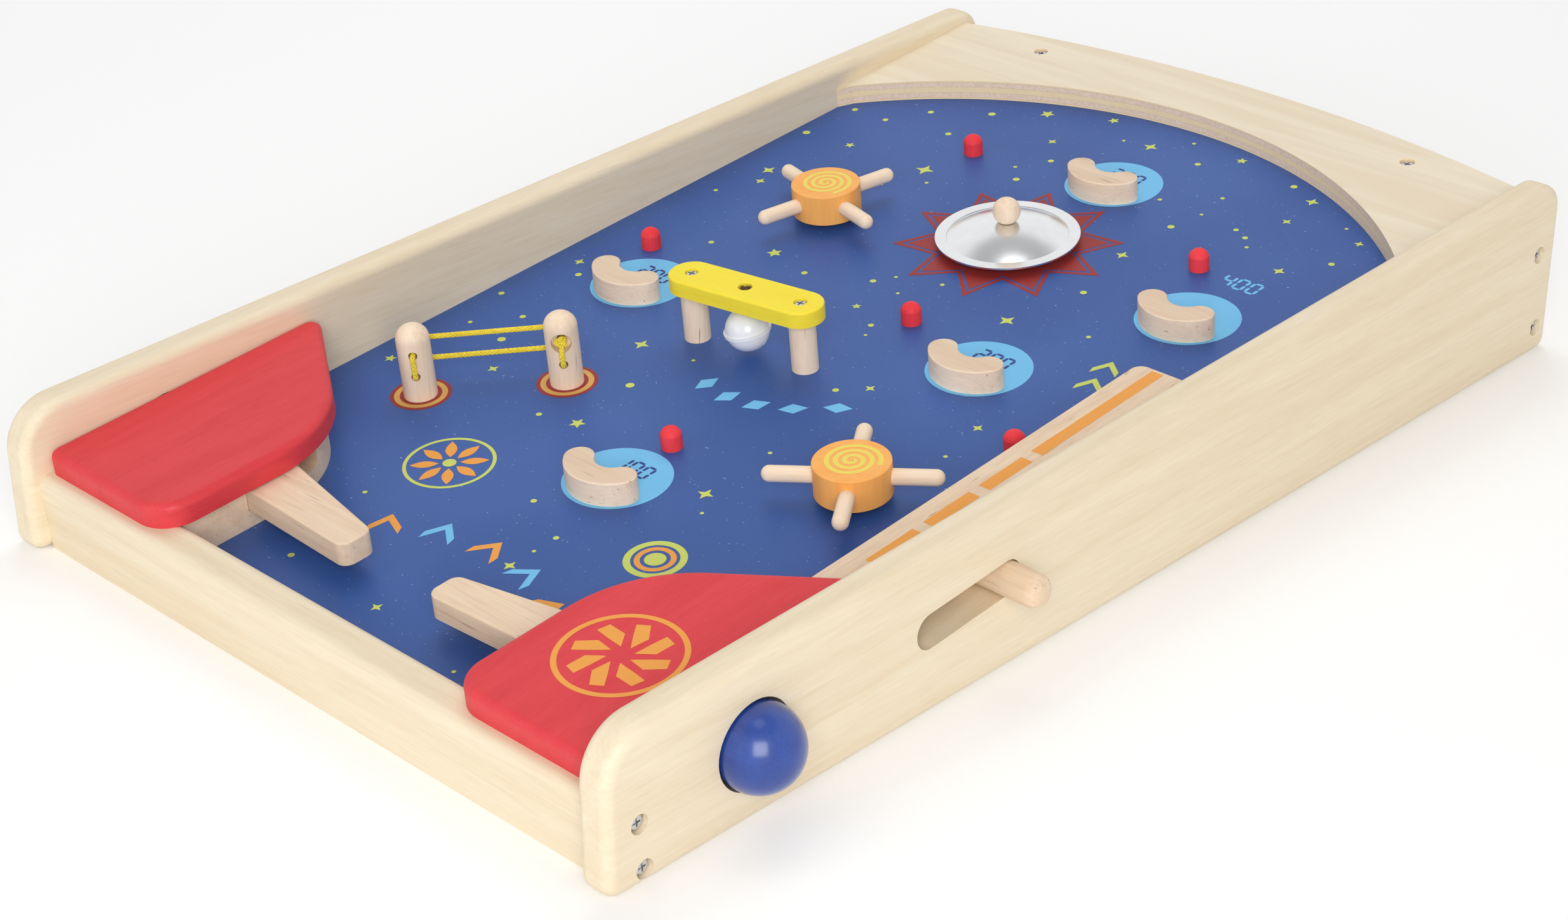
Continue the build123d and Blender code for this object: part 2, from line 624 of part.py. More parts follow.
def flipper_pin():
    """Steel pin that the right flipper turns on, held in the block and the cover."""
    foot = FLIPPER_BASE - FLIPPER_FLOOR_GAP - FLIPPER_PIN_FOOT
    return on_field(upright(FLIPPER_PIN_DIAMETER, PIVOT_U, PIVOT_V, foot, DECK_HEIGHT + FLIPPER_PIN_HEAD))


def button_ball():
    """Ball that the player pushes, flat where the spring bears on it."""
    ball = Pos(BUTTON_U, BUTTON_V, BUTTON_HEIGHT) * Sphere(BUTTON_DIAMETER / 2)
    behind = BUTTON_U - BUTTON_DIAMETER
    ball -= across(2 * BUTTON_DIAMETER, BUTTON_V, BUTTON_HEIGHT, behind, BUTTON_BACK_U)
    bore = BUTTON_ROD_DIAMETER + 2 * FIT_CLEARANCE
    bore_end = BUTTON_BACK_U + BUTTON_BORE_DEPTH
    ball -= across(bore, BUTTON_V, BUTTON_HEIGHT, BUTTON_BACK_U - OVERRUN, bore_end)
    return on_field(ball)


def button_rod():
    """Dowel from the ball to the heel of the flipper, with a domed end."""
    rod = across(
        BUTTON_ROD_DIAMETER, BUTTON_V, BUTTON_HEIGHT, ROD_TIP_U, BUTTON_BACK_U + BUTTON_BORE_DEPTH
    )
    return on_field(rod + Pos(ROD_TIP_U, BUTTON_V, BUTTON_HEIGHT) * Sphere(BUTTON_ROD_DIAMETER / 2))


def button_spring():
    """Spring that pushes the ball back out."""
    length = BUTTON_BACK_U - SPRING_SEAT_U - 2 * SPRING_END_GAP
    wound = coil("button spring", BUTTON_SPRING_DIAMETER, BUTTON_SPRING_WIRE, length, BUTTON_SPRING_TURNS)
    return on_field(Pos(SPRING_SEAT_U + SPRING_END_GAP, BUTTON_V, BUTTON_HEIGHT) * Rot(0, 90, 0) * wound)


def lane_wall():
    """Wall between the ball lane and the open field."""
    rear = LANE_ROOF_REAR_V - LANE_WALL_SETBACK
    return on_field(slab(LANE_WALL_U, LANE_INNER_U, LANE_FRONT_V, rear, 0, LANE_CEILING))


def lane_roof():
    """Strip over the ball lane."""
    points = [
        (LANE_WALL_U, LANE_FRONT_V),
        (INNER_HALF, LANE_FRONT_V),
        (INNER_HALF, LANE_ROOF_REAR_V),
        (LANE_WALL_U, LANE_ROOF_REAR_V),
    ]
    outline = rounded_outline(points, [0, 0, 0, LANE_ROOF_CORNER_RADIUS])
    return on_field(raised(outline, LANE_CEILING, DECK_HEIGHT))


def plunger_stop():
    """Block at the front of the lane that the plunger spring pushes against."""
    stop = slab(LANE_INNER_U, INNER_HALF, LANE_FRONT_V, LANE_STOP_V, 0, LANE_CEILING)
    spigot = uphill(
        SPIGOT_DIAMETER, LANE_MIDDLE_U, SLOT_MIDDLE_HEIGHT, LANE_STOP_V, LANE_STOP_V + SPIGOT_LENGTH
    )
    return on_field(stop + spigot)


def plunger_hammer():
    """Block that slides in the lane and strikes the ball."""
    low = SLIDING_CLEARANCE
    high = LANE_CEILING - SLIDING_CLEARANCE
    left = LANE_INNER_U + SLIDING_CLEARANCE
    right = INNER_HALF - SLIDING_CLEARANCE
    hammer = slab(left, right, HAMMER_FRONT_V, HAMMER_FRONT_V + HAMMER_LENGTH, low, high)
    hammer += uphill(
        SPIGOT_DIAMETER, LANE_MIDDLE_U, SLOT_MIDDLE_HEIGHT, HAMMER_FRONT_V - SPIGOT_LENGTH, HAMMER_FRONT_V
    )
    bore = HANDLE_TENON_DIAMETER + 2 * FIT_CLEARANCE
    hammer -= across(bore, HANDLE_V, SLOT_MIDDLE_HEIGHT, right - HANDLE_TENON_LENGTH, right + OVERRUN)
    return on_field(hammer)


def plunger_handle():
    """Dowel that the player pulls, with a rounded end and a tenon in the hammer."""
    root = INNER_HALF - SLIDING_CLEARANCE
    handle = across(HANDLE_DIAMETER, HANDLE_V, SLOT_MIDDLE_HEIGHT, root, OUTER_REACH)
    handle = fillet(handle.edges().sort_by(Axis.X)[-1], HANDLE_END_RADIUS)
    tenon_from = root - HANDLE_TENON_LENGTH
    return on_field(handle + across(HANDLE_TENON_DIAMETER, HANDLE_V, SLOT_MIDDLE_HEIGHT, tenon_from, root))


def plunger_spring():
    """Spring that drives the hammer up the lane."""
    length = HAMMER_FRONT_V - LANE_STOP_V - 2 * SPRING_END_GAP
    wound = coil("plunger spring", PLUNGER_SPRING_DIAMETER, PLUNGER_SPRING_WIRE, length, PLUNGER_SPRING_TURNS)
    start = Pos(LANE_MIDDLE_U, LANE_STOP_V + SPRING_END_GAP, SLOT_MIDDLE_HEIGHT)
    return on_field(start * Rot(-90, 0, 0) * wound)


def bumper():
    """Kidney-shaped block, hollow side up the slope, about its own middle."""
    arc = CenterArc((0, BUMPER_BEND_RADIUS), BUMPER_BEND_RADIUS, 270 - BUMPER_ARC / 2, BUMPER_ARC)
    return rounded_top(raised(SlotArc(arc, BUMPER_WIDTH), 0, BUMPER_HEIGHT), BUMPER_EDGE_RADIUS)


def peg():
    """Peg with a low domed cap and a foot in the playfield, about its own axis."""
    dome = (PEG_DIAMETER ** 2 / 4 + PEG_CAP ** 2) / (2 * PEG_CAP)
    ball = Pos(0, 0, PEG_NECK + PEG_CAP - dome) * Sphere(dome)
    cap = split(ball, Plane.XY.offset(PEG_NECK))
    body = upright(PEG_DIAMETER, 0, 0, 0, PEG_NECK) + cap
    return body + upright(PEG_TENON_DIAMETER, 0, 0, -TENON_DEPTH, 0)


def spinner_disc():
    """Disc of a spinner with a blind bore and four holes for its spokes."""
    disc = rounded_top(upright(SPINNER_DIAMETER, 0, 0, SPINNER_GAP, SPINNER_TOP), SPINNER_EDGE_RADIUS)
    bore = SPINNER_PIN_DIAMETER + 2 * RUNNING_CLEARANCE
    bore_top = SPINNER_GAP + SPINNER_PIN_DEPTH + SPINNER_SEAT_GAP
    disc -= upright(bore, 0, 0, SPINNER_GAP - OVERRUN, bore_top)
    for hole in spoke_bars(SPOKE_DIAMETER + 2 * FIT_CLEARANCE):
        disc -= hole
    return disc


def spoke_bars(diameter):
    """Plain round bars where the spokes of a spinner lie."""
    root = SPINNER_DIAMETER / 2 - SPOKE_TENON
    height = SPINNER_GAP + SPINNER_HEIGHT / 2
    bar = across(diameter, 0, height, root, SPOKE_REACH)
    return [Rot(0, 0, 360 * step / SPOKE_COUNT) * bar for step in range(SPOKE_COUNT)]


def spinner_spokes():
    """Four separate dowels with round ends."""
    spokes = []
    for bar in spoke_bars(SPOKE_DIAMETER):
        end = bar.edges().sort_by(lambda edge: hypot(edge.center().X, edge.center().Y))[-1]
        spokes.append(fillet(end, SPOKE_DIAMETER / 2 - FIT_CLEARANCE))
    return Compound(children=[spoke.solid() for spoke in spokes])


def spinner_pin():
    """Pin in the playfield with a shoulder that keeps the disc off the field."""
    pin = upright(SPINNER_PIN_DIAMETER, 0, 0, -TENON_DEPTH, SPINNER_GAP + SPINNER_PIN_DEPTH)
    return pin + upright(SPINNER_SHOULDER_DIAMETER, 0, 0, 0, SPINNER_GAP - SPINNER_SEAT_GAP)


def gong_dome():
    """Metal dome with a flat rim, turned from one sheet."""
    rim = GONG_DIAMETER / 2
    foot = rim - GONG_RIM_WIDTH
    hole = GONG_PIN_DIAMETER / 2 + RUNNING_CLEARANCE
    low = GONG_RIM_HEIGHT
    curve_radius = (foot**2 + GONG_RISE**2) / (2 * GONG_RISE)
    sheet = Pos(0, 0, GONG_APEX - curve_radius) * (Sphere(curve_radius) - Sphere(curve_radius - GONG_SHEET))
    cap = sheet & upright(2 * foot, 0, 0, low, GONG_APEX + OVERRUN)
    ring = upright(2 * rim, 0, 0, low, low + GONG_SHEET)
    ring -= upright(2 * (foot - GONG_SHEET), 0, 0, low - OVERRUN, low + GONG_SHEET + OVERRUN)
    return cap + ring - upright(2 * hole, 0, 0, low, GONG_APEX + OVERRUN)


def gong_post():
    """Post under the dome, with a pin that goes through it into the knob."""
    seat = GONG_APEX - GONG_SHEET - GONG_SEAT_GAP
    rest_radius = GONG_POST_DIAMETER / 2
    foot = GONG_DIAMETER / 2 - GONG_RIM_WIDTH
    curve_radius = (foot**2 + GONG_RISE**2) / (2 * GONG_RISE)
    fall = curve_radius - sqrt(curve_radius**2 - rest_radius**2)
    post = upright(GONG_POST_DIAMETER, 0, 0, 0, seat - fall)
    pin_top = GONG_APEX + GONG_SEAT_GAP + GONG_PIN_REACH
    return post + upright(GONG_PIN_DIAMETER, 0, 0, -TENON_DEPTH, pin_top)


def gong_knob():
    """Wooden ball with a flat seat, held on the pin over the dome."""
    seat = GONG_APEX + GONG_SEAT_GAP
    middle = seat + GONG_KNOB_DIAMETER / 2 - GONG_KNOB_SEAT
    ball = Pos(0, 0, middle) * Sphere(GONG_KNOB_DIAMETER / 2)
    ball -= upright(2 * GONG_KNOB_DIAMETER, 0, 0, seat - GONG_KNOB_DIAMETER, seat)
    bore = GONG_PIN_DIAMETER + 2 * FIT_CLEARANCE
    return ball - upright(bore, 0, 0, seat - OVERRUN, seat + GONG_PIN_REACH)


def bridge_bar():
    """Bar with round ends, two sunk screws and a recess for the knot of the bell cord."""
    bar = raised(SlotCenterToCenter(BRIDGE_LEG_SPACING, BRIDGE_BAR_WIDTH), BRIDGE_LEG_HEIGHT, BRIDGE_TOP)
    bar = rounded_top(bar, BRIDGE_BAR_EDGE_RADIUS)
    for side in (-1, 1):
        u = side * BRIDGE_LEG_SPACING / 2
        head = BRIDGE_SCREW_HEAD_DIAMETER + 2 * FIT_CLEARANCE
        rest = BRIDGE_TOP - BRIDGE_SCREW_SINK - SCREW_HEAD_THICKNESS
        bar -= upright(head, u, 0, rest, BRIDGE_TOP + OVERRUN)
        bar -= Pos(u, 0, rest) * screw_hole(BRIDGE_SCREW_SHANK_DIAMETER, BRIDGE_SCREW_LENGTH)
    recess = BRIDGE_TOP - BRIDGE_CORD_RECESS_DEPTH
    bar -= upright(BRIDGE_CORD_RECESS_DIAMETER, 0, 0, recess, BRIDGE_TOP + OVERRUN)
    cord_hole = BELL_CORD_DIAMETER + 2 * BELL_CORD_GAP
    return bar - upright(cord_hole, 0, 0, BRIDGE_LEG_HEIGHT - OVERRUN, BRIDGE_TOP)


def bridge_leg():
    """Leg with a foot in the playfield and a pilot hole on top."""
    leg = upright(BRIDGE_LEG_DIAMETER, 0, 0, 0, BRIDGE_LEG_HEIGHT)
    leg += upright(BRIDGE_TENON_DIAMETER, 0, 0, -TENON_DEPTH, 0)
    rest = BRIDGE_TOP - BRIDGE_SCREW_SINK - SCREW_HEAD_THICKNESS
    return leg - Pos(0, 0, rest) * screw_hole(BRIDGE_SCREW_SHANK_DIAMETER, BRIDGE_SCREW_LENGTH)


def bridge_screws():
    """Two screws that hold the bar on its legs."""
    rest = BRIDGE_TOP - BRIDGE_SCREW_SINK - SCREW_HEAD_THICKNESS
    one = screw(BRIDGE_SCREW_HEAD_DIAMETER, BRIDGE_SCREW_SHANK_DIAMETER, BRIDGE_SCREW_LENGTH)
    reach = BRIDGE_LEG_SPACING / 2
    return Compound(children=[(Pos(side * reach, 0, rest) * one).solid() for side in (-1, 1)])


def bell_shell():
    """Round hollow bell, hung askew, with a ring at its seam and a slot underneath."""
    radius = BELL_DIAMETER / 2
    shell = Sphere(radius) + Cylinder(radius + BELL_RING_WIDTH, BELL_RING_THICKNESS)
    shell -= Sphere(radius - BELL_SHEET)
    slot = Box(BELL_DIAMETER, BELL_SLOT_WIDTH, radius)
    shell -= Pos(0, 0, -radius) * slot
    return Pos(0, 0, BELL_MIDDLE) * shell.rotate(Axis((0, 0, 0), (1, -1, 0)), BELL_TILT)


def bell_pellet():
    """Loose pellet that lies in the bottom of the bell."""
    lift = BELL_DIAMETER / 2 - BELL_SHEET - BELL_PELLET_DIAMETER / 2 - BELL_PELLET_GAP
    return Pos(0, 0, BELL_MIDDLE - lift) * Sphere(BELL_PELLET_DIAMETER / 2)


def bell_cord():
    """Short cord that swings with the bell, folded to a round top just under the bar."""
    cord = upright(BELL_CORD_DIAMETER, 0, 0, BELL_MIDDLE, BELL_PIVOT)
    cord += across(BELL_CORD_DIAMETER, 0, BELL_PIVOT, -BELL_CORD_DIAMETER / 2, BELL_CORD_DIAMETER / 2)
    return cord - Pos(0, 0, BELL_MIDDLE) * Sphere(BELL_DIAMETER / 2)


def hanging(shape):
    """Turns a piece of the bell about its pivot until it hangs plumb over the slope."""
    lean = degrees(atan2(sin(SLOPE) * cos(radians(BRIDGE_TURN)), cos(SLOPE)))
    return Pos(0, 0, BELL_PIVOT) * Rot(-lean, 0, 0) * Pos(0, 0, -BELL_PIVOT) * shape


def bell_knot():
    """Knot in the bar that the bell cord hangs from."""
    seat = BRIDGE_TOP - BRIDGE_CORD_RECESS_DEPTH
    knot = Pos(0, 0, seat + BELL_KNOT_DIAMETER / 2) * Sphere(BELL_KNOT_DIAMETER / 2)
    middle = seat + BELL_KNOT_DIAMETER / 2
    return knot + upright(BELL_CORD_DIAMETER, 0, 0, BRIDGE_LEG_HEIGHT, middle)


def band_frame():
    """Frame at the left band post, with x along the band and y to its rear side."""
    left_u, left_v = place(LEFT_POST_SHARE)
    right_u, right_v = place(RIGHT_POST_SHARE)
    turn = degrees(atan2(right_v - left_v, right_u - left_u))
    return Pos(left_u, left_v, 0) * Rot(0, 0, turn)


def band_span():
    """Distance between the two band posts."""
    left_u, left_v = place(LEFT_POST_SHARE)
    right_u, right_v = place(RIGHT_POST_SHARE)
    return hypot(right_u - left_u, right_v - left_v)


def band_post():
    """Post with a round head and two holes for the cord, about its own axis."""
    post = upright(POST_DIAMETER, 0, 0, 0, POST_HEIGHT)
    post = rounded_top(post, POST_DOME_RADIUS)
    post += upright(POST_TENON_DIAMETER, 0, 0, -TENON_DEPTH, 0)
    for height in (BAND_LOWER_HEIGHT, BAND_UPPER_HEIGHT):
        post -= uphill(BAND_HOLE_DIAMETER, 0, height, -POST_DIAMETER, POST_DIAMETER)
    return post


def knot_post():
    """Right band post, with a wider recess for the knot of the cord."""
    mouth = -POST_DIAMETER / 2
    recess = uphill(BAND_RECESS_DIAMETER, 0, BAND_UPPER_HEIGHT, mouth - OVERRUN, mouth + BAND_RECESS_DEPTH)
    return band_post() - recess


def band_cord():
    """Elastic cord: twice between the posts, through their holes, to a knot."""
    span = band_span()
    back = BAND_STANDOFF
    front = -BAND_STANDOFF
    knot_y = front + BAND_KNOT_DIAMETER / 2
    tuck = BAND_KNOT_DIAMETER / 5
    upper = BAND_UPPER_HEIGHT
    lower = BAND_LOWER_HEIGHT
    points = [
        (span, knot_y + tuck, upper),
        (span, back, upper),
        (0, back, upper),
        (0, front, upper),
        (0, front, lower),
        (0, back, lower),
        (span, back, lower),
        (span, front, lower),
        (span, front, upper - BAND_KNOT_DIAMETER / 2),
        (span, knot_y - tuck, upper - tuck),
    ]
    path = FilletPolyline(*points, radius=BAND_BEND_RADIUS)
    tube = sweep(Plane(path @ 0, z_dir=path % 0) * Circle(BAND_DIAMETER / 2), path)
    section = pi * BAND_DIAMETER**2 / 4
    print(f"band cord {path.length:.1f} mm, bends {BAND_BEND_RADIUS} mm")
    print(f"band cord volume {tube.volume:.1f}, section times length {section * path.length:.1f}")
    knot = Pos(span, knot_y, upper) * Sphere(BAND_KNOT_DIAMETER / 2)
    return on_field(band_frame() * (tube + knot))


def panel_screws():
    """Eight screws that hold the side panels to the rails."""
    one = screw(PANEL_SCREW_HEAD_DIAMETER, PANEL_SCREW_SHANK_DIAMETER, PANEL_SCREW_LENGTH)
    screws = []
    for v, h in right_screw_places():
        right = on_field(panel_screw_spot(v, h) * one)
        screws += [right.solid(), other_side(right).solid()]
    return Compound(children=screws)


def plate_screws():
    """Two screws that hold the arch plate to the back rail."""
    rest = PLATE_THICKNESS - PLATE_SCREW_SINK - SCREW_HEAD_THICKNESS
    one = screw(PLATE_SCREW_HEAD_DIAMETER, PLATE_SCREW_SHANK_DIAMETER, PLATE_SCREW_LENGTH)
    return Compound(children=[on_field(Pos(u, v, rest) * one).solid() for u, v in plate_screw_places()])


def save_case():
    """Panels, rails, boards and their screws."""
    save("right_side_panel", slotted_panel())
    save("left_side_panel", other_side(plain_panel()))
    save("front_rail", front_rail())
    save("back_rail", back_rail())
    save("playfield", playfield())
    save("arch_plate", arch_plate())
    save("panel_screws", panel_screws())
    save("plate_screws", plate_screws())


def save_flippers():
    """Covers, flippers and buttons, on the right and mirrored on the left."""
    pieces = {
        "cover": cover(),
        "flipper_block": flipper_block(),
        "flipper": flipper(),
        "flipper_pin": flipper_pin(),
        "button_ball": button_ball(),
        "button_rod": button_rod(),
        "button_spring": button_spring(),
    }
    for name, piece in pieces.items():
        save(f"right_{name}", piece)
        save(f"left_{name}", other_side(piece))


def save_lane():
    """Ball lane and plunger."""
    save("lane_wall", lane_wall())
    save("lane_roof", lane_roof())
    save("plunger_stop", plunger_stop())
    save("plunger_hammer", plunger_hammer())
    save("plunger_handle", plunger_handle())
    save("plunger_spring", plunger_spring())


def save_targets():
    """Bumpers, pegs, spinners and the gong."""
    for name, share in BUMPER_PLACE_SHARES.items():
        save(name, on_field(Pos(*place(share)) * bumper()))
    for name, share in PEG_PLACE_SHARES.items():
        save(name, on_field(Pos(*place(share)) * peg()))
    for name, share in SPINNER_PLACE_SHARES.items():
        spot = Pos(*place(share)) * Rot(0, 0, SPINNER_TURNS[name])
        save(f"{name}_disc", on_field(spot * spinner_disc()))
        save(f"{name}_spokes", on_field(spot * spinner_spokes()))
        save(f"{name}_pin", on_field(spot * spinner_pin()))
    gong_spot = Pos(*place(GONG_PLACE_SHARE))
    save("gong_dome", on_field(gong_spot * gong_dome()))
    save("gong_knob", on_field(gong_spot * gong_knob()))
    save("gong_post", on_field(gong_spot * gong_post()))


def save_bridge():
    """Bridge with its bell."""
    spot = Pos(*place(BRIDGE_PLACE_SHARE)) * Rot(0, 0, BRIDGE_TURN)
    save("bridge_bar", on_field(spot * bridge_bar()))
    save("bridge_screws", on_field(spot * bridge_screws()))
    for name, leg_place in zip(("bridge_left_leg", "bridge_right_leg"), bridge_leg_places()):
        save(name, on_field(Pos(*leg_place) * bridge_leg()))
    save("bell_shell", on_field(spot * hanging(bell_shell())))
    save("bell_pellet", on_field(spot * hanging(bell_pellet())))
    save("bell_cord", on_field(spot * hanging(bell_cord())))
    save("bell_knot", on_field(spot * bell_knot()))


def save_band():
    """Elastic band and its posts."""
    frame = band_frame()
    save("left_band_post", on_field(frame * band_post()))
    save("right_band_post", on_field(frame * Pos(band_span(), 0, 0) * knot_post()))
    save("band_cord", band_cord())


save_case()
save_flippers()
save_lane()
save_targets()
save_bridge()
save_band()
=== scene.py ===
# %% [markdown]
# # Wooden tabletop pinball game
#
# The game is a shallow wooden case with a sloped blue board in it. The solid pieces come from
# the construction model, each in its own place, so this lesson only gives them their looks:
# bare and painted wood, metal, a printed board, a braided elastic and a hanging bell.
# All lengths are in metres, with +Z up and the player in front, on the -Y side.

# %% Frame
import json
import math

import bpy
from mathutils import Matrix, Vector


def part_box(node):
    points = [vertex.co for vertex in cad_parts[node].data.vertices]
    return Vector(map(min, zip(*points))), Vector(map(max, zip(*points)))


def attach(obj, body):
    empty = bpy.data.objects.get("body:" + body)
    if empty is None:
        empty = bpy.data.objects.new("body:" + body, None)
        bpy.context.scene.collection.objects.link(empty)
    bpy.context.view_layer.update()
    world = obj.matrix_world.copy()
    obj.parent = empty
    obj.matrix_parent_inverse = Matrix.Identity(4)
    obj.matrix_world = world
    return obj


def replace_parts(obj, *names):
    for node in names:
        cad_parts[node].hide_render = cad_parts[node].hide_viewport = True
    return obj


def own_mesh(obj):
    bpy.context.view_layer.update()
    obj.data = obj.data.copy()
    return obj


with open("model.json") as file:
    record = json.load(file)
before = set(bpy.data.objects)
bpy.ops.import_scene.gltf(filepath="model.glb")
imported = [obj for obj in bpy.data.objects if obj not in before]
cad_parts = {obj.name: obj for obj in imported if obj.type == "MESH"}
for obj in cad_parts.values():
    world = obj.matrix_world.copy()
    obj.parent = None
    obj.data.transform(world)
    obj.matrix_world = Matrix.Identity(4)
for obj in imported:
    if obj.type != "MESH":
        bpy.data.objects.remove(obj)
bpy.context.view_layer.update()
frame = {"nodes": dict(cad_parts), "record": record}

# %% [markdown]
# ## Where things lie on the slope
#
# The blue board rises 5.3 degrees from front to back. It is easiest to lay out a print as on a
# flat sheet: u to the right, v up the slope and h square to the board, in millimetres. One matrix
# then lifts the flat drawing onto the slope, and the pieces keep their own place in their mesh.

# %% Field coordinates
MM = 0.001
SLOPE = math.radians(5.3)
FRONT_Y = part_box("left_side_panel")[0].y
FRONT_HEIGHT = 14 * MM
FIELD = Matrix.Translation((0, FRONT_Y, FRONT_HEIGHT)) @ Matrix.Rotation(SLOPE, 4, "X")
NORMAL = FIELD.to_3x3() @ Vector((0, 0, 1))


def on_field(u, v, h):
    """A place on the sloped board, from millimetres to metres."""
    return FIELD @ Vector((u * MM, v * MM, h * MM))


def srgb(red, green, blue):
    """A paint-card colour from 0 to 255, as the linear colour that light works with."""
    def linear(part):
        part = part / 255
        return part / 12.92 if part <= 0.04045 else ((part + 0.055) / 1.055) ** 2.4
    return (linear(red), linear(green), linear(blue), 1.0)


def deeper(colour, share):
    """The same colour with less light in it."""
    return tuple(part * share for part in colour[:3]) + (1.0,)


print("board front edge", tuple(round(x, 4) for x in on_field(0, 0, 0)))

# %% [markdown]
# ## Writing materials as sums
#
# A material is a small sum: grain plus flecks, times a colour. Node trees get long when each node
# is placed by hand, so a wire here stands for one socket, and plus, minus and times on wires make
# the nodes. Every pattern runs on object coordinates, so it stays with its piece when it moves.


# %% Wires
class Wire:
    """One socket of a material. Arithmetic on wires makes Math nodes."""

    def __init__(self, socket):
        self.socket = socket
        self.tree = socket.id_data

    def made(self, kind, settings, inputs, out=0):
        """Makes one node: its settings first, then its socket values and links."""
        node = self.tree.nodes.new(kind)
        for key, value in settings.items():
            setattr(node, key, value)
        for key, value in inputs.items():
            if isinstance(value, Wire):
                self.tree.links.new(value.socket, node.inputs[key])
            else:
                node.inputs[key].default_value = value
        return Wire(node.outputs[out])

    def math(self, operation, *values):
        """A Math node on these values."""
        return self.made("ShaderNodeMath", {"operation": operation}, dict(enumerate(values)))

    def vector(self, operation, *values):
        """A Vector Math node on these vectors."""
        settings = {"operation": operation}
        return self.made("ShaderNodeVectorMath", settings, dict(enumerate(values)))

    def __add__(self, other):
        return self.math("ADD", self, other)

    def __radd__(self, other):
        return self.math("ADD", other, self)

    def __sub__(self, other):
        return self.math("SUBTRACT", self, other)

    def __rsub__(self, other):
        return self.math("SUBTRACT", other, self)

    def __mul__(self, other):
        return self.math("MULTIPLY", self, other)

    def __rmul__(self, other):
        return self.math("MULTIPLY", other, self)

    def ramp(self, low, high):
        """A smooth share from nought at low to one at high."""
        inputs = {"Value": self, "From Min": low, "From Max": high}
        return self.made("ShaderNodeMapRange", {"interpolation_type": "SMOOTHSTEP"}, inputs)

    def mix(self, first, second):
        """From the first colour to the second, by this share."""
        inputs = {0: self, 6: first, 7: second}
        return self.made("ShaderNodeMix", {"data_type": "RGBA"}, inputs, out=2)

    def stretched(self, x, y, z):
        """This vector with each direction drawn out or pressed together."""
        return self.vector("MULTIPLY", self, (x, y, z))

    def along(self, direction):
        """How far this vector reaches in a direction."""
        settings = {"operation": "DOT_PRODUCT"}
        return self.made("ShaderNodeVectorMath", settings, {0: self, 1: direction}, out=1)

    def noise(self, scale, detail, distortion=0.0):
        """Cloudy values about one half."""
        inputs = {"Vector": self, "Scale": scale, "Detail": detail, "Distortion": distortion}
        return self.made("ShaderNodeTexNoise", {}, inputs)

    def bump(self, distance):
        """This value as a fine relief of that depth."""
        inputs = {"Height": self, "Distance": distance, "Strength": 1.0}
        return self.made("ShaderNodeBump", {}, inputs)


SOFT_SHINE = 0.25


def new_material(name):
    """A material with a principled surface, and its object coordinates as a wire."""
    material = bpy.data.materials.new(name)
    material.use_nodes = True
    surface = material.node_tree.nodes["Principled BSDF"]
    surface.inputs["Specular IOR Level"].default_value = SOFT_SHINE
    coordinates = material.node_tree.nodes.new("ShaderNodeTexCoord")
    return material, surface, Wire(coordinates.outputs["Object"])


def set_surface(surface, **inputs):
    """Gives sockets of the surface their values or wires; _ stands for a space."""
    for key, value in inputs.items():
        socket = surface.inputs[key.replace("_", " ")]
        if isinstance(value, Wire):
            value.tree.links.new(value.socket, socket)
        else:
            socket.default_value = value


print("wire operations", len([name for name in vars(Wire) if not name.startswith("__init")]))

# %% [markdown]
# ## Wood
#
# The case is pale pine with soft straight bands, the turned pieces are beech with short brown
# flecks. Both are fibres drawn out along one direction, so one recipe does them all: broad bands,
# fine fibres, streaks and a few flecks, each a noise stretched along the grain. A clear satin
# varnish lies on top. Posts, knobs and spokes take a paler copy of the beech than the flippers:
# painted light, which lifts their sides where they sit in shade.

# %% Bare wood
DRAWN = 0.06
GRAIN = {"x": (DRAWN, 1.0, 1.0), "y": (1.0, DRAWN, 1.0), "z": (1.0, 1.0, DRAWN)}


def grain_parts(place):
    """Bands, fibres and flecks of wood whose grain is already drawn out."""
    bands = place.noise(95.0, 2.0, 0.6)
    fibres = place.noise(900.0, 3.0)
    flecks = place.noise(620.0, 1.0).ramp(0.70, 0.78)
    return bands, fibres, flecks


def wood_surface(surface, place, pale, deep, fleck_share):
    """Colour, shine and relief of bare varnished wood."""
    bands, fibres, flecks = grain_parts(place)
    streaks = place.noise(300.0, 5.0, 0.2).ramp(0.58, 0.70) * (0.16 + fleck_share * 0.24)
    tone = bands.ramp(0.30, 0.72) * 0.42 + fibres.ramp(0.25, 0.75) * 0.30 + streaks
    colour = (flecks * fleck_share).mix(tone.mix(pale, deep), deeper(deep, 0.55))
    set_surface(surface, Base_Color=colour, Roughness=0.42 + fibres * 0.16, Coat_Weight=0.12)
    set_surface(surface, Normal=(fibres - flecks * fleck_share).bump(0.00006), Coat_Roughness=0.3)


def bare_wood(name, grain, pale, deep, fleck_share):
    """Varnished wood with its grain along one axis."""
    material, surface, place = new_material(name)
    wood_surface(surface, place.stretched(*GRAIN[grain]), pale, deep, fleck_share)
    return material


PINE = (srgb(243, 229, 202), srgb(229, 208, 173), 0.1)
BEECH = (srgb(243, 220, 192), srgb(217, 184, 152), 0.8)
# A paler copy of the beech for posts, knobs, spokes and block sides: painted light on sides in
# shade.
PAINTED_LIGHT_BEECH = (srgb(254, 234, 208), srgb(234, 203, 172), 0.8)
pine = {grain: bare_wood("pine_along_" + grain, grain, *PINE) for grain in "xy"}
beech = {grain: bare_wood("beech_along_" + grain, grain, *BEECH) for grain in "xy"}
painted_light_beech = bare_wood("beech_painted_light", "z", *PAINTED_LIGHT_BEECH)
woods = [*pine.values(), *beech.values(), painted_light_beech]
print("bare woods", sorted(wood.name for wood in woods))

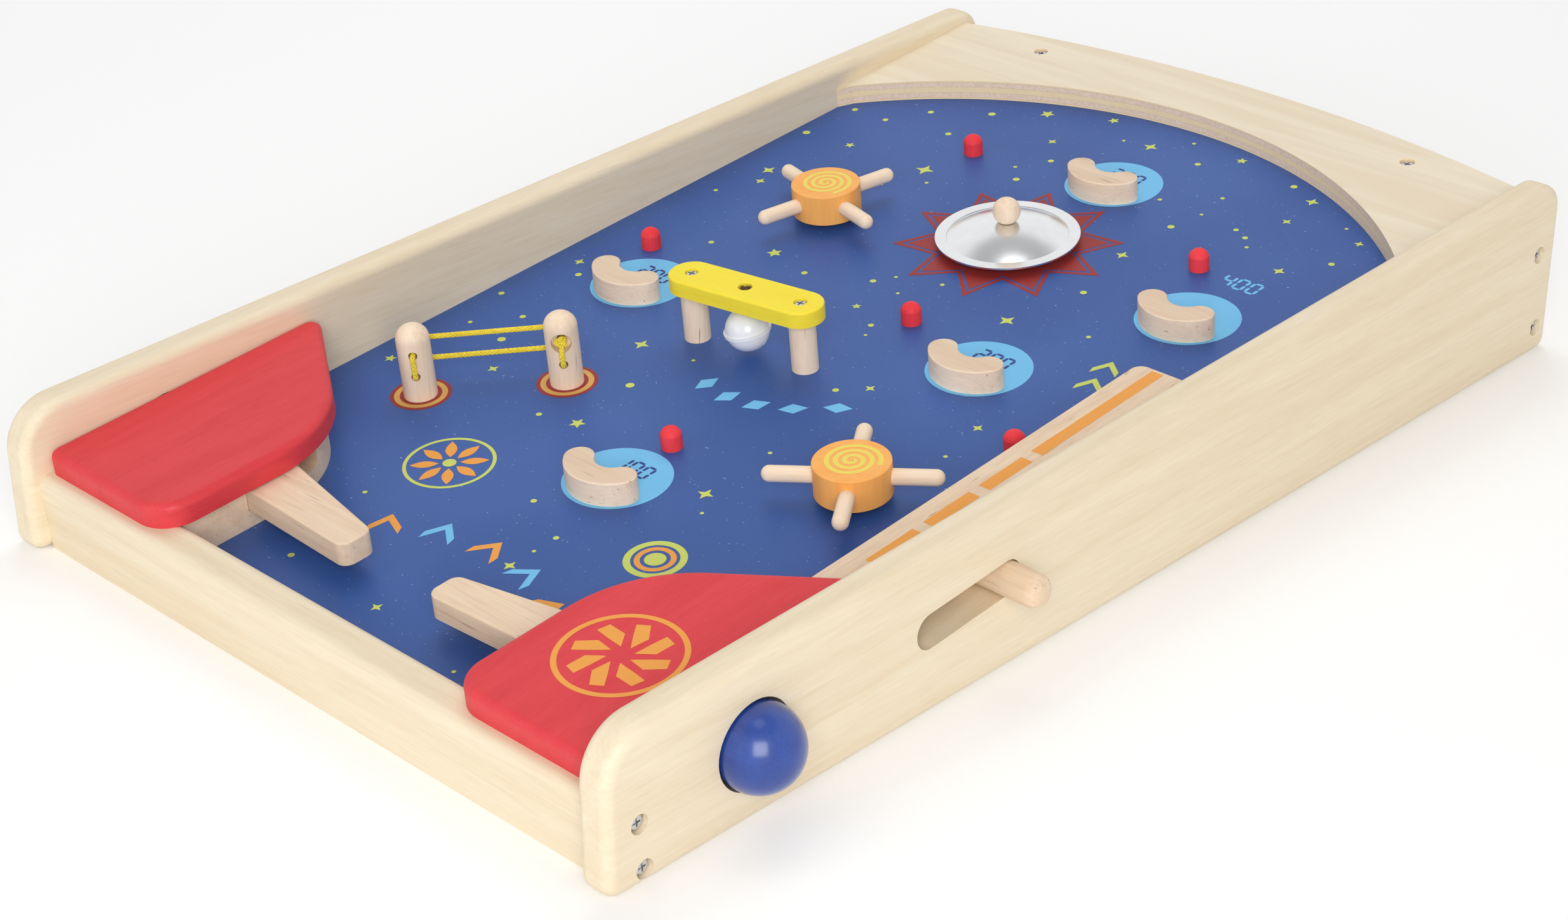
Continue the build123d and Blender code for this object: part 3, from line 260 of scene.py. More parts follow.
# %% [markdown]
# The four spokes of a spinner point four ways, and each dowel has its grain along itself. The
# longer of the two distances from the axle lies along the spoke and the shorter across it, so
# those two stand in for the grain axes of all four dowels at once.

# %% Spoke wood
SPINNER_PLACES = {"front_spinner": (90.95, 223.38, 34.5), "rear_spinner": (-87.44, 398.4, -14.5)}
SPOKE_HEIGHT = 11


def spoke_wood(name, centre, turn):
    """Beech whose grain runs out from an axle in four directions."""
    material, surface, place = new_material(name)
    from_axle = place.vector("SUBTRACT", place, centre)
    turned = FIELD.to_3x3() @ Matrix.Rotation(math.radians(turn), 3, "Z")
    first = from_axle.math("ABSOLUTE", from_axle.along(turned @ Vector((1, 0, 0))))
    second = from_axle.math("ABSOLUTE", from_axle.along(turned @ Vector((0, 1, 0))))
    out = place.math("MAXIMUM", first, second)
    side = place.math("MINIMUM", first, second)
    axes = {0: out * DRAWN, 1: side, 2: from_axle.along(NORMAL)}
    # The spokes take the paler beech, with its painted light for their shaded sides.
    wood_surface(surface, place.made("ShaderNodeCombineXYZ", {}, axes), *PAINTED_LIGHT_BEECH)
    return material


spokes = {}
for spinner, (u, v, turn) in SPINNER_PLACES.items():
    spokes[spinner] = spoke_wood(spinner + "_beech", on_field(u, v, SPOKE_HEIGHT), turn)
print("spoke woods", sorted(spokes))

# %% [markdown]
# ## Painted wood
#
# The paint is a thin stain-like coat, sprayed on sanded wood, so the fibres still show as a faint
# relief and the colour thins a little on them. The covers, pegs, discs, bar and push balls share
# one recipe with their own colour, depth of grain and gloss.


# %% Paint
def painted(name, grain, colour, thin_colour, gloss, coat):
    """Thin paint over wood with its grain along one axis."""
    material, surface, place = new_material(name)
    bands, fibres, flecks = grain_parts(place.stretched(*GRAIN[grain]))
    thin = bands.ramp(0.35, 0.75) * 0.45 + fibres.ramp(0.35, 0.8) * 0.35 + flecks * 0.2
    cloud = place.noise(420.0, 2.0)
    set_surface(surface, Base_Color=thin.mix(colour, thin_colour))
    set_surface(surface, Roughness=(0.62 - gloss * 0.4) + cloud * 0.12, Coat_Weight=coat)
    set_surface(surface, Normal=(fibres + cloud * 0.5).bump(0.00004), Coat_Roughness=0.18)
    return material


red_paint = painted("red_paint", "y", srgb(224, 68, 74), srgb(210, 54, 62), 0.35, 0.12)
peg_paint = painted("red_peg_paint", "z", srgb(248, 68, 76), srgb(232, 50, 60), 0.15, 0.04)
orange_paint = painted("orange_paint", "z", srgb(255, 186, 102), srgb(250, 164, 78), 0.45, 0.12)
yellow_paint = painted("yellow_paint", "x", srgb(254, 234, 66), srgb(248, 218, 52), 0.35, 0.10)
ball_paint = painted("blue_ball_paint", "x", srgb(44, 76, 158), srgb(32, 56, 132), 0.9, 0.7)
paints = (red_paint, peg_paint, orange_paint, yellow_paint, ball_paint)
print("paints", [paint.name for paint in paints])

# %% [markdown]
# ## Layered boards
#
# The arch at the back is birch ply. Its faces are one pale veneer, and on the cut edge five
# veneers show as stripes with thin glue lines between them, every other one rosier because it
# shows end grain. The height above the board picks the veneer, and the way a face looks tells an
# edge from a face. The blue board and the kidney blocks use that too: the board's print stops at
# its brown edge, and the tops of the blocks are painted a little deeper than their sides, as
# painted shade.


# %% Plywood, blue board and blocks
GLUE_LINES = (0.0009, 0.0036, 0.0066, 0.0092)
GLUE_HALF = 0.0001


def face_share(material):
    """One where a surface looks square away from the sloped board, zero on its edges."""
    coordinates = material.node_tree.nodes["Texture Coordinate"]
    looking = Wire(coordinates.outputs["Normal"]).along(NORMAL)
    return looking.ramp(0.75, 0.95)


def plywood(name):
    """Birch ply with five veneers on its cut edge."""
    material, surface, place = new_material(name)
    height = place.along(NORMAL) - on_field(0, 0, 0).dot(NORMAL)
    rough = place.noise(700.0, 2.0)
    level = height + rough * 0.0003 - 0.00015
    steps = [level.ramp(line - GLUE_HALF, line + GLUE_HALF) for line in GLUE_LINES]
    crossed = steps[0] - steps[1] + steps[2] - steps[3]
    glue = sum(step * (1.0 - step) for step in steps)
    bands, fibres, _ = grain_parts(place.stretched(*GRAIN["x"]))
    figure = bands.ramp(0.3, 0.7) * 0.6 + fibres * 0.4
    veneer = figure.mix(srgb(245, 233, 210), srgb(234, 217, 188))
    ends = rough.ramp(0.3, 0.7).mix(srgb(250, 228, 202), srgb(240, 212, 184))
    sides = fibres.mix(srgb(255, 234, 190), srgb(248, 220, 172))
    edge = (glue * 2.4).mix(crossed.mix(sides, ends), srgb(176, 136, 102))
    set_surface(surface, Base_Color=face_share(material).mix(edge, veneer), Coat_Weight=0.1)
    set_surface(surface, Roughness=0.45 + fibres * 0.15)
    set_surface(surface, Normal=(fibres + rough * 0.3).bump(0.00006))
    return material


def blue_board(name):
    """Board with a printed blue face, fine dust on it and brown fibre edges."""
    material, surface, place = new_material(name)
    cloud = place.noise(9.0, 2.0)
    speckle = place.noise(2600.0, 1.0)
    dust = place.noise(900.0, 0.0).ramp(0.82, 0.86)
    mottle = cloud.ramp(0.3, 0.7) * 0.7 + speckle * 0.3
    blue = mottle.mix(srgb(62, 98, 168), srgb(48, 83, 152))
    dusty = (dust * 0.35).mix(blue, srgb(214, 222, 240))
    fibre = speckle.mix(srgb(150, 110, 78), srgb(120, 84, 58))
    set_surface(surface, Base_Color=face_share(material).mix(fibre, dusty))
    set_surface(surface, Roughness=0.34 + speckle * 0.14, Specular_IOR_Level=0.3)
    set_surface(surface, Normal=speckle.bump(0.00003))
    return material


def block_wood_with_painted_shade(name):
    """Beech block whose flat top is painted deeper than its cut sides: painted shade."""
    material, surface, place = new_material(name)
    # The cut sides take the paler beech, with its painted light for sides in shade.
    wood_surface(surface, place.stretched(*GRAIN["x"]), *PAINTED_LIGHT_BEECH)
    cut = Wire(surface.inputs["Base Color"].links[0].from_socket)
    # The flat top is mixed a share towards a deeper brown: painted shade, as the sides catch more
    # light.
    top = face_share(material) * 0.3
    set_surface(surface, Base_Color=top.mix(cut, srgb(176, 138, 112)))
    return material


arch_ply = plywood("birch_ply")
board_blue = blue_board("printed_blue_board")
shade_topped_beech = block_wood_with_painted_shade("beech_block_painted_shade")
print("boards", arch_ply.name, board_blue.name, shade_topped_beech.name)

# %% [markdown]
# ## Metal and glossy pieces
#
# Screws, pins and springs are zinc-plated steel with faint turning marks. The dome is polished and
# mirrors the room. The little bell is a steel ball under thick white enamel.


# %% Metal and enamel
def metal(name, colour, roughness, depth):
    """Metal with fine marks."""
    material, surface, place = new_material(name)
    marks = place.noise(1500.0, 3.0)
    cloud = place.noise(120.0, 2.0)
    set_surface(surface, Base_Color=cloud.mix(colour, deeper(colour, 0.86)), Metallic=1.0)
    set_surface(surface, Roughness=roughness + marks * 0.10, Normal=marks.bump(depth))
    return material


def enamel(name):
    """Thick white enamel with a slight orange-peel relief."""
    material, surface, place = new_material(name)
    peel = place.noise(1100.0, 2.0)
    cloud = place.noise(160.0, 2.0)
    set_surface(surface, Base_Color=cloud.mix(srgb(250, 251, 252), srgb(240, 242, 244)))
    set_surface(surface, Roughness=0.22 + peel * 0.08, Coat_Weight=0.5, Normal=peel.bump(0.00002))
    return material


steel = metal("zinc_steel", srgb(214, 214, 216), 0.32, 0.00001)
dome = metal("polished_dome", srgb(238, 240, 242), 0.17, 0.000001)
white = enamel("white_enamel")
print("metals", steel.name, dome.name, white.name)

# %% [markdown]
# ## Giving each piece its finish
#
# Each solid takes one finish. The grain follows the way the blank was cut: along the side panels,
# across the rails, up the turned posts and out along the flippers.

# %% Finishes
FINISHES = [
    (pine["y"], "left_side_panel right_side_panel"),
    (pine["x"], "front_rail back_rail"),
    (arch_ply, "arch_plate"),
    (board_blue, "playfield"),
    (red_paint, "left_cover right_cover"),
    (beech["x"], "left_flipper right_flipper left_flipper_block right_flipper_block"),
    (beech["x"], "left_button_rod right_button_rod plunger_handle plunger_stop"),
    (shade_topped_beech, "rear_bumper left_bumper middle_bumper front_bumper right_bumper"),
    (beech["y"], "lane_wall lane_roof plunger_hammer"),
    # Turned pieces take the paler beech, painted lighter for their shaded sides.
    (painted_light_beech, "left_band_post right_band_post bridge_left_leg bridge_right_leg gong_knob"),
    (spokes["front_spinner"], "front_spinner_spokes"),
    (spokes["rear_spinner"], "rear_spinner_spokes"),
    (peg_paint, "rear_left_peg left_peg rear_right_peg middle_peg front_peg right_peg"),
    (orange_paint, "front_spinner_disc rear_spinner_disc"),
    (yellow_paint, "bridge_bar"),
    (ball_paint, "left_button_ball right_button_ball"),
    (steel, "panel_screws plate_screws bridge_screws left_flipper_pin right_flipper_pin"),
    (steel, "left_button_spring right_button_spring plunger_spring bell_pellet"),
    (steel, "front_spinner_pin rear_spinner_pin gong_post"),
    (dome, "gong_dome"),
    (white, "bell_shell"),
]
finished = set()
for material, names in FINISHES:
    for name in names.split():
        mesh = frame["nodes"][name].data
        mesh.materials.clear()
        mesh.materials.append(material)
        finished.add(name)
print("finished", len(finished), "still to dress", sorted(set(frame["nodes"]) - finished))

# %% [markdown]
# ## Trees for prints and cords
#
# A star that is stamped thirty times, a spiral line and the strands of a braid are all the same
# kind of work: one small shape set along points or a path. Geometry Nodes does it. Each tree has
# named inputs, and what it makes is kept as a plain mesh that rides on one body of the game.


# %% Tree helpers
def new_tree(name, inputs):
    """A geometry tree with these named inputs, and a wire for each of them."""
    tree = bpy.data.node_groups.new(name, "GeometryNodeTree")
    tree.interface.new_socket("Geometry", in_out="INPUT", socket_type="NodeSocketGeometry")
    for label, kind in inputs.items():
        tree.interface.new_socket(label, in_out="INPUT", socket_type="NodeSocket" + kind)
    tree.interface.new_socket("Geometry", in_out="OUTPUT", socket_type="NodeSocketGeometry")
    entry = tree.nodes.new("NodeGroupInput")
    return tree, {socket.name: Wire(socket) for socket in entry.outputs if socket.name}


def end_tree(tree, geometry, material):
    """Makes the instances real, gives them their material and ends the tree."""
    real = geometry.made("GeometryNodeRealizeInstances", {}, {"Geometry": geometry})
    dressed = real.made("GeometryNodeSetMaterial", {}, {"Geometry": real, "Material": material})
    result = tree.nodes.new("NodeGroupOutput")
    tree.links.new(dressed.socket, result.inputs["Geometry"])
    return tree


def grown(name, mesh, tree, values):
    """What a tree makes of a mesh, as a plain mesh."""
    source = bpy.data.objects.new(name + "_source", mesh)
    bpy.context.scene.collection.objects.link(source)
    modifier = source.modifiers.new(name, "NODES")
    modifier.node_group = tree
    for item in tree.interface.items_tree:
        if item.in_out == "INPUT" and item.name in values:
            modifier[item.identifier] = values[item.name]
    depsgraph = bpy.context.evaluated_depsgraph_get()
    made = bpy.data.meshes.new_from_object(source.evaluated_get(depsgraph), depsgraph=depsgraph)
    bpy.data.objects.remove(source)
    used = [material for material in made.materials if material]
    made.materials.clear()
    made.materials.append(used[0])
    made.name = name
    return made


def keep(name, mesh, body):
    """A finished piece at the origin that moves with one body."""
    piece = bpy.data.objects.new(name, mesh)
    bpy.context.scene.collection.objects.link(piece)
    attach(piece, body)
    triangles = sum(len(face.vertices) - 2 for face in mesh.polygons)
    print(name, "triangles", triangles, "materials", [m.name for m in mesh.materials])
    return piece


def facing_up(mesh):
    """Turns the faces of a flat print so that they look up from the board."""
    if mesh.polygons[0].normal.dot(NORMAL) < 0:
        mesh.flip_normals()
    return mesh


print("trees so far", len(bpy.data.node_groups))

# %% [markdown]
# ## Inks
#
# The print is screened in flat inks on the board, so the colour is even and only the film itself
# shows: a slight mottle and a gloss that differs a little from the bare blue around it.


# %% Ink finishes
def ink(name, colour):
    """A thin even film of printing ink."""
    material, surface, place = new_material(name)
    mottle = place.noise(1800.0, 2.0)
    cloud = place.noise(60.0, 2.0)
    tone = mottle * 0.5 + cloud * 0.5
    set_surface(surface, Base_Color=tone.mix(colour, deeper(colour, 0.9)))
    set_surface(surface, Roughness=0.38 + mottle * 0.14, Normal=mottle.bump(0.00002))
    return material


lime_ink = ink("lime_ink", srgb(212, 222, 110))
sky_ink = ink("sky_blue_ink", srgb(122, 200, 246))
maroon_ink = ink("maroon_ink", srgb(156, 52, 50))
orange_ink = ink("orange_ink", srgb(246, 168, 78))
ochre_ink = ink("ochre_ink", srgb(222, 172, 92))
yellow_ink = ink("yellow_ink", srgb(248, 224, 104))
navy_ink = ink("navy_ink", srgb(44, 66, 138))
inks = (lime_ink, sky_ink, maroon_ink, orange_ink, ochre_ink, yellow_ink, navy_ink)
print("inks", [film.name for film in inks])

# %% [markdown]
# ## Stars and dots
#
# The board is strewn with small lime stars of four and five points and with dots. One star
# outline, filled, is stamped on every place, and a star whose inner and outer corners are level
# is a dot. The places are given one by one, each as u, v and size in millimetres.

# %% Star field
PRINT_HEIGHT = 0.06
FOUR_POINT = [
    (-9, 546, 4), (88, 543, 3.6), (90, 520, 2.7), (129, 521, 2.6), (115, 479, 3.3),
    (-52, 523, 2.7), (-83, 463, 5), (-146, 418, 4), (-141, 407, 3), (49, 450, 3.5),
    (46, 372, 4.3), (-152, 296, 3), (37, 292, 2.8), (95, 295, 2.9), (-71, 259, 4.1),
    (-109, 204, 3), (40, 189, 4), (15, 104, 3.3), (-5, 52, 2.9),
]
FIVE_POINT = [
    (-42, 559, 3.1), (-74, 546, 4), (36, 559, 3), (-132, 462, 2.8), (-83, 357, 4),
    (-17, 342, 2.4), (-44, 195, 3.9), (-154, 182, 3.1),
]
DOTS = [
    (72, 551, 1.7), (21, 544, 1.5), (-97, 530, 1.9), (-124, 514, 1.6), (-100, 500, 1.6),
    (-137, 494, 1.5), (-158, 494, 1.6), (-39, 506, 1.5), (-40, 481, 1.7), (50, 485, 1.7),
    (130, 498, 1.5), (84, 496, 1.4), (76, 500, 1.3), (-160, 460, 2), (57, 412, 1.6),
    (-27, 364, 1.5), (-58, 351, 1.5), (-115, 347, 1.4), (0, 333, 1.4), (26, 282, 1.5),
    (-143, 287, 1.6), (-159, 253, 1.5), (-49, 231, 2), (-126, 224, 2), (-134, 244, 1.5),
    (-63, 190, 1.4), (-13, 142, 1.4), (15, 129, 1.3), (-62, 54, 1.5), (6, 561, 1),
    (-24, 544, 0.9), (52, 522, 1.1), (54, 503, 0.9), (29, 504, 1.1), (116, 530, 0.9),
    (-49, 491, 1), (-73, 453, 1), (1, 380, 1.1), (84, 382, 1.1), (-21, 373, 0.9), (4, 325, 0.8),
    (99, 270, 1), (49, 178, 0.9), (15, 117, 0.9), (52, 43, 0.9), (39, 228, 1), (-10, 362, 0.9),
    (-150, 226, 1.1), (-42, 263, 0.9), (-152, 387, 1.1), (-90, 439, 1.1), (90, 489, 1),
    (-75, 103, 1.1),
]
stamp_inputs = {"Points": "Int", "Inner share": "Float", "Ink": "Material"}
tree, entry = new_tree("stamped_shape", stamp_inputs)
places = entry["Geometry"]
corners = {"Points": entry["Points"], "Inner Radius": entry["Inner share"], "Outer Radius": 1.0}
outline = places.made("GeometryNodeCurveStar", {}, corners)
filled = outline.made("GeometryNodeFillCurve", {}, {"Curve": outline})
size = places.made("GeometryNodeInputNamedAttribute", {"data_type": "FLOAT"}, {"Name": "size"})
turn = places.made("GeometryNodeInputNamedAttribute", {"data_type": "FLOAT"}, {"Name": "turn"})
spin = places.made("ShaderNodeCombineXYZ", {}, {2: turn})
spots = {"Points": places, "Instance": filled, "Rotation": spin, "Scale": size}
stamped_shape = end_tree(tree, places.made("GeometryNodeInstanceOnPoints", {}, spots), entry["Ink"])


def stamped(name, marks, points, inner_share, slant):
    """Stamps one shape on all its places on the board."""
    mesh = bpy.data.meshes.new(name + "_places")
    mesh.from_pydata([(u * MM, v * MM, PRINT_HEIGHT * MM) for u, v, _ in marks], [], [])
    sizes = mesh.attributes.new("size", "FLOAT", "POINT")
    turns = mesh.attributes.new("turn", "FLOAT", "POINT")
    for number, (_, _, radius) in enumerate(marks):
        sizes.data[number].value = radius * MM
        turns.data[number].value = slant * math.sin(number * 2.4)
    values = {"Points": points, "Inner share": inner_share, "Ink": lime_ink}
    made = grown(name, mesh, stamped_shape, values)
    made.transform(FIELD)
    return keep(name, facing_up(made), "base")


stamped("printed_four_point_stars", FOUR_POINT, 4, 0.40, 0.22)
stamped("printed_five_point_stars", FIVE_POINT, 5, 0.46, 0.5)
stamped("printed_dots", DOTS, 9, 1.0, 0.0)

# %% [markdown]
# ## Rings, burst and score marks
#
# A light-blue circle lies under every kidney block, a ring under each post of the elastic and a
# ten-pointed burst under the dome. Each is an outline or a band between two outlines, so a few
# lines of mesh code draw them, a hair above the board so that no two inks share a plane.


# %% Flat outlines
def ring(u, v, radius, count=64):
    """A round outline."""
    steps = [2 * math.pi * step / count for step in range(count)]
    return [(u + radius * math.cos(a), v + radius * math.sin(a)) for a in steps]


def disc(middle, radius, count=64):
    """A filled round."""
    return ring(*middle, radius, count), None


def hoop(middle, outer, inner):
    """A round band between two radii."""
    return ring(*middle, outer), ring(*middle, inner)


def star(u, v, points, outer, inner, turn=0.0):
    """An outline with that many points."""
    corners = []
    for step in range(2 * points):
        angle = turn + math.pi * step / points
        reach = inner if step % 2 else outer
        corners.append((u + reach * math.cos(angle), v + reach * math.sin(angle)))
    return corners


def printed(name, shapes, ink_material, h=PRINT_HEIGHT):
    """Prints filled outlines, and bands between two outlines of like count, as one mesh."""
    corners = []
    faces = []
    for outer, inner in shapes:
        first = len(corners)
        count = len(outer)
        corners += [(u * MM, v * MM, h * MM) for u, v in outer + (inner or [])]
        if inner is None:
            faces.append(list(range(first, first + count)))
            continue
        for step in range(count):
            after = (step + 1) % count
            faces.append([first + step, first + after, first + count + after, first + count + step])
    mesh = bpy.data.meshes.new(name)
    mesh.from_pydata(corners, [], faces)
    mesh.transform(FIELD)
    mesh.materials.append(ink_material)
    return keep(name, facing_up(mesh), "base")


BUMPER_CIRCLES = [(1.4, 504.0), (-113.3, 298.8), (63.4, 332.7), (2.0, 175.3), (108.4, 420.6)]
POSTS = [(-118.26, 169.92), (-73.7, 216.42)]
BURST = (-1.0, 428.4)
BURST_POINTS = 10
printed("printed_block_circles", [disc(middle, 23.5) for middle in BUMPER_CIRCLES], sky_ink)
post_rings = []
for post in POSTS:
    post_rings += [hoop(post, 13.7, 11.9), hoop(post, 9.4, 7.0)]
printed("printed_post_rings", post_rings, maroon_ink)
printed("printed_post_ring_lines", [hoop(post, 11.9, 9.4) for post in POSTS], ochre_ink)
burst_edge = (star(*BURST, BURST_POINTS, 54.0, 35.5), star(*BURST, BURST_POINTS, 49.5, 33.2))
burst_field = (star(*BURST, BURST_POINTS, 47.0, 32.0), ring(*BURST, 12.0, 2 * BURST_POINTS))
printed("printed_burst", [burst_edge, burst_field], maroon_ink)

# %% [markdown]
# The score numbers are the plain seven-bar kind, dark on the circles and light beside the block on
# the right. A bar is a thin six-cornered lozenge, and the digit says which of its seven bars show.

# %% Score marks
DIGIT_BARS = {"0": "abcdef", "1": "bc", "2": "abged", "3": "abgcd", "4": "fgbc"}
BAR_PLACES = {"a": (0, 1, 0), "b": (0.5, 0.5, 1), "c": (0.5, -0.5, 1), "d": (0, -1, 0),
              "e": (-0.5, -0.5, 1), "f": (-0.5, 0.5, 1), "g": (0, 0, 0)}
BAR_LENGTH, BAR_WIDTH, DIGIT_STEP = 0.92, 0.16, 1.55


def bar(u, v, length, width, upright):
    """A lozenge, lying or upright."""
    reach, half = length / 2, width / 2
    corners = [(-reach, 0), (half - reach, -half), (reach - half, -half)]
    corners += [(reach, 0), (reach - half, half), (half - reach, half)]
    return [(u - y, v + x) if upright else (u + x, v + y) for x, y in corners]


def number_bars(text, u, v, height):
    """The bars of a number about a middle."""
    digit = height / 2
    length, width = digit * BAR_LENGTH, height * BAR_WIDTH
    shapes = []
    for place, figure in enumerate(text):
        middle = u + (place - (len(text) - 1) / 2) * digit * DIGIT_STEP
        for name in DIGIT_BARS[figure]:
            across, up, upright = BAR_PLACES[name]
            outline = bar(middle + across * digit, v + up * digit, length, width, upright)
            shapes.append((outline, None))
    return shapes


SCORES = ["300", "200", "200", "100"]
SCORE_SHIFT, SCORE_LAYER = 10.0, 0.11
dark_bars = []
for text, (u, v) in zip(SCORES, BUMPER_CIRCLES):
    dark_bars += number_bars(text, u, v + SCORE_SHIFT, 8.5)
printed("printed_scores", dark_bars, navy_ink, h=SCORE_LAYER)
printed("printed_side_score", number_bars("400", 109.0, 459.0, 9.0), sky_ink)

# %% [markdown]
# Between the stars there are larger marks that show the way of the ball: a fan of arrow heads in
# front of the flippers, a ringed target, a row of lozenges and a rosette, in the same few inks.


# %% Arrow heads, target, lozenges and rosette
def arrow(u, v, size, turn):
    """A broad arrow head that points up the board, or turned from there."""
    corners = [(0, 0.6), (0.8, -0.4), (0.8, -0.95), (0, 0.05), (-0.8, -0.95), (-0.8, -0.4)]
    c, s = math.cos(turn), math.sin(turn)
    return [(u + size * (x * c - y * s), v + size * (x * s + y * c)) for x, y in corners]


def lozenge(u, v, size, turn):
    """A four-cornered mark, longer than it is wide."""
    return star(u, v, 2, size, size * 0.62, turn)


PETAL_SPREAD, PETAL_STEPS = 0.578, 6


def petal(u, v, inner, outer, turn):
    """A pointed leaf that reaches out from a middle."""
    sides = []
    for side in (1, -1):
        for step in range(PETAL_STEPS + 1):
            share = step / PETAL_STEPS if side == 1 else 1 - step / PETAL_STEPS
            reach = inner + (outer - inner) * share
            lean = PETAL_SPREAD * math.sin(math.pi * share) * inner / reach
            sides.append((turn + side * lean, reach))
    return [(u + reach * math.cos(a), v + reach * math.sin(a)) for a, reach in sides]


FAN_V, FAN_REACH, FAN_STEP = 8.0, 100, 0.26
fan = []
for step in range(-2, 3):
    lean = step * FAN_STEP
    tip = (FAN_REACH * math.sin(lean), FAN_V + FAN_REACH * math.cos(lean))
    fan.append((arrow(*tip, 9.0, -lean), None))
printed("printed_arrow_fan", fan[0::2], orange_ink)
printed("printed_arrow_fan_between", fan[1::2], sky_ink)
TARGET = (58.0, 143.0)
printed("printed_target", [hoop(TARGET, 13, 10), disc(TARGET, 4.5, 32)], lime_ink)
printed("printed_target_ring", [hoop(TARGET, 8.6, 6.2)], orange_ink)
row = []
for step in range(-1, 4):
    mark = lozenge(-8 + 15 * step, 250 + 2.4 * step * step, 6.5, 1.2 - 0.22 * step)
    row.append((mark, None))
printed("printed_lozenges", row, sky_ink)
ROSETTE = (-64.0, 140.0)
leaves = [(petal(*ROSETTE, 4.5, 17.0, math.pi * step / 4), None) for step in range(8)]
printed("printed_rosette", leaves, orange_ink)
printed("printed_rosette_rim", [hoop(ROSETTE, 20, 18.4), disc(ROSETTE, 3, 32)], lime_ink)
lead = [(arrow(110 - 3 * step, 352 + 15 * step, 7.5, 0.25), None) for step in range(2)]
printed("printed_lead_arrows", lead, lime_ink)

# %% [markdown]
# The roof of the ball lane has a row of orange dashes, and the right cover carries one round
# orange emblem, a pinwheel in a ring. They lie on the tops of those pieces, above the board.

# %% Dashes and pinwheel
ROOF_TOP = 19.5
COVER_TOP = 30.0
DASHES = [(271, 349), (239, 265), (206, 233), (173, 200)]
DASH_LEFT, DASH_RIGHT = 144.5, 150.3
dash_shapes = []
for low, high in DASHES:
    corners = [(DASH_LEFT, low), (DASH_RIGHT, low), (DASH_RIGHT, high), (DASH_LEFT, high)]
    dash_shapes.append((corners, None))
printed("printed_lane_dashes", dash_shapes, orange_ink, h=ROOF_TOP + PRINT_HEIGHT)
WHEEL = (127.0, 63.0)
blades = []
for step in range(8):
    lean = math.pi * step / 4
    reach = [(5, lean), (13, lean - 0.1), (20, lean + 0.22), (19, lean + 0.5), (12, lean + 0.42)]
    corners = [(WHEEL[0] + r * math.cos(a), WHEEL[1] + r * math.sin(a)) for r, a in reach]
    blades.append((corners, None))
wheel = blades + [hoop(WHEEL, 25.5, 23.2)]
printed("printed_cover_pinwheel", wheel, orange_ink, h=COVER_TOP + PRINT_HEIGHT)

# %% [markdown]
# ## Spirals on the spinners
#
# Each orange disc has a yellow spiral of a little over three turns on its top. A spiral path with
# a flat line swept along it gives the ribbon, and it turns with its spinner.

# %% Spirals
spiral_inputs = {"Turns": "Float", "Reach": "Float", "Width": "Float", "Ink": "Material"}
tree, entry = new_tree("spiral_line", spiral_inputs)
start = entry["Geometry"]
sizes = {"Resolution": 40, "Start Radius": 0.4 * MM, "Height": 0.0}
winding = {"Rotations": entry["Turns"], "End Radius": entry["Reach"]}
path = start.made("GeometryNodeCurveSpiral", {}, {**sizes, **winding})
half = entry["Width"] * 0.5
ends = [start.made("ShaderNodeCombineXYZ", {}, {0: half * side}) for side in (-1.0, 1.0)]
line = start.made("GeometryNodeCurvePrimitiveLine", {}, {"Start": ends[0], "End": ends[1]})
ribbon = path.made("GeometryNodeCurveToMesh", {}, {"Curve": path, "Profile Curve": line})
spiral_line = end_tree(tree, ribbon, entry["Ink"])
SPINNER_TOP = 18.5
SPIRAL_START = 75
for spinner, (u, v, turn) in SPINNER_PLACES.items():
    empty = bpy.data.meshes.new(spinner + "_start")
    empty.from_pydata([(0, 0, 0)], [], [])
    values = {"Turns": 3.25, "Reach": 12.2 * MM, "Width": 2.1 * MM, "Ink": yellow_ink}
    mesh = grown(spinner + "_spiral", empty, spiral_line, values)
    spot = Matrix.Translation((u * MM, v * MM, (SPINNER_TOP + PRINT_HEIGHT) * MM))
    mesh.transform(FIELD @ spot @ Matrix.Rotation(math.radians(turn + SPIRAL_START), 4, "Z"))
    keep(spinner + "_spiral", facing_up(mesh), spinner)

# %% [markdown]
# ## Braided and twisted cords
#
# The elastic is a round braid: half of the strands wind one way and half the other, and each goes
# over one and under the next. The bell hangs on a plain twisted cord. One tree makes both. It sets
# strands around a path, turns them with the length gone by, and lets the braid's radius rise and
# fall so that the strands cross over and under.

# %% Strand tree
TURN = 2 * math.pi
STRAND_STEP = 0.35 * MM
strand_inputs = {
    "Strands": "Int", "Back": "Float", "Core": "Float", "Weave": "Float", "Pitch": "Float",
    "Thread": "Float", "Fibre": "Material",
}
tree, entry = new_tree("strands_on_a_path", strand_inputs)
route = entry["Geometry"]
line = route.made("GeometryNodeMeshToCurve", {}, {"Mesh": route})
spacing = {"Curve": line, "Length": STRAND_STEP}
even = line.made("GeometryNodeResampleCurve", {"mode": "LENGTH"}, spacing)
amount = {"Geometry": even, "Amount": entry["Strands"]}
copies = even.made("GeometryNodeDuplicateElements", {"domain": "SPLINE"}, amount)
index = Wire(copies.socket.node.outputs["Duplicate Index"])
pair = index.math("FLOOR", index * 0.5) * 2.0
winding = 1.0 - index.math("MODULO", index, 2.0) * entry["Back"] * 2.0
spread = index + (pair - index) * entry["Back"]
share = index.math("DIVIDE", spread, entry["Strands"])
gone = route.made("GeometryNodeSplineParameter", {}, {}, out=1)
angle = (share + winding * index.math("DIVIDE", gone, entry["Pitch"])) * TURN
wave = angle.math("COSINE", angle * entry["Strands"] * 0.5)
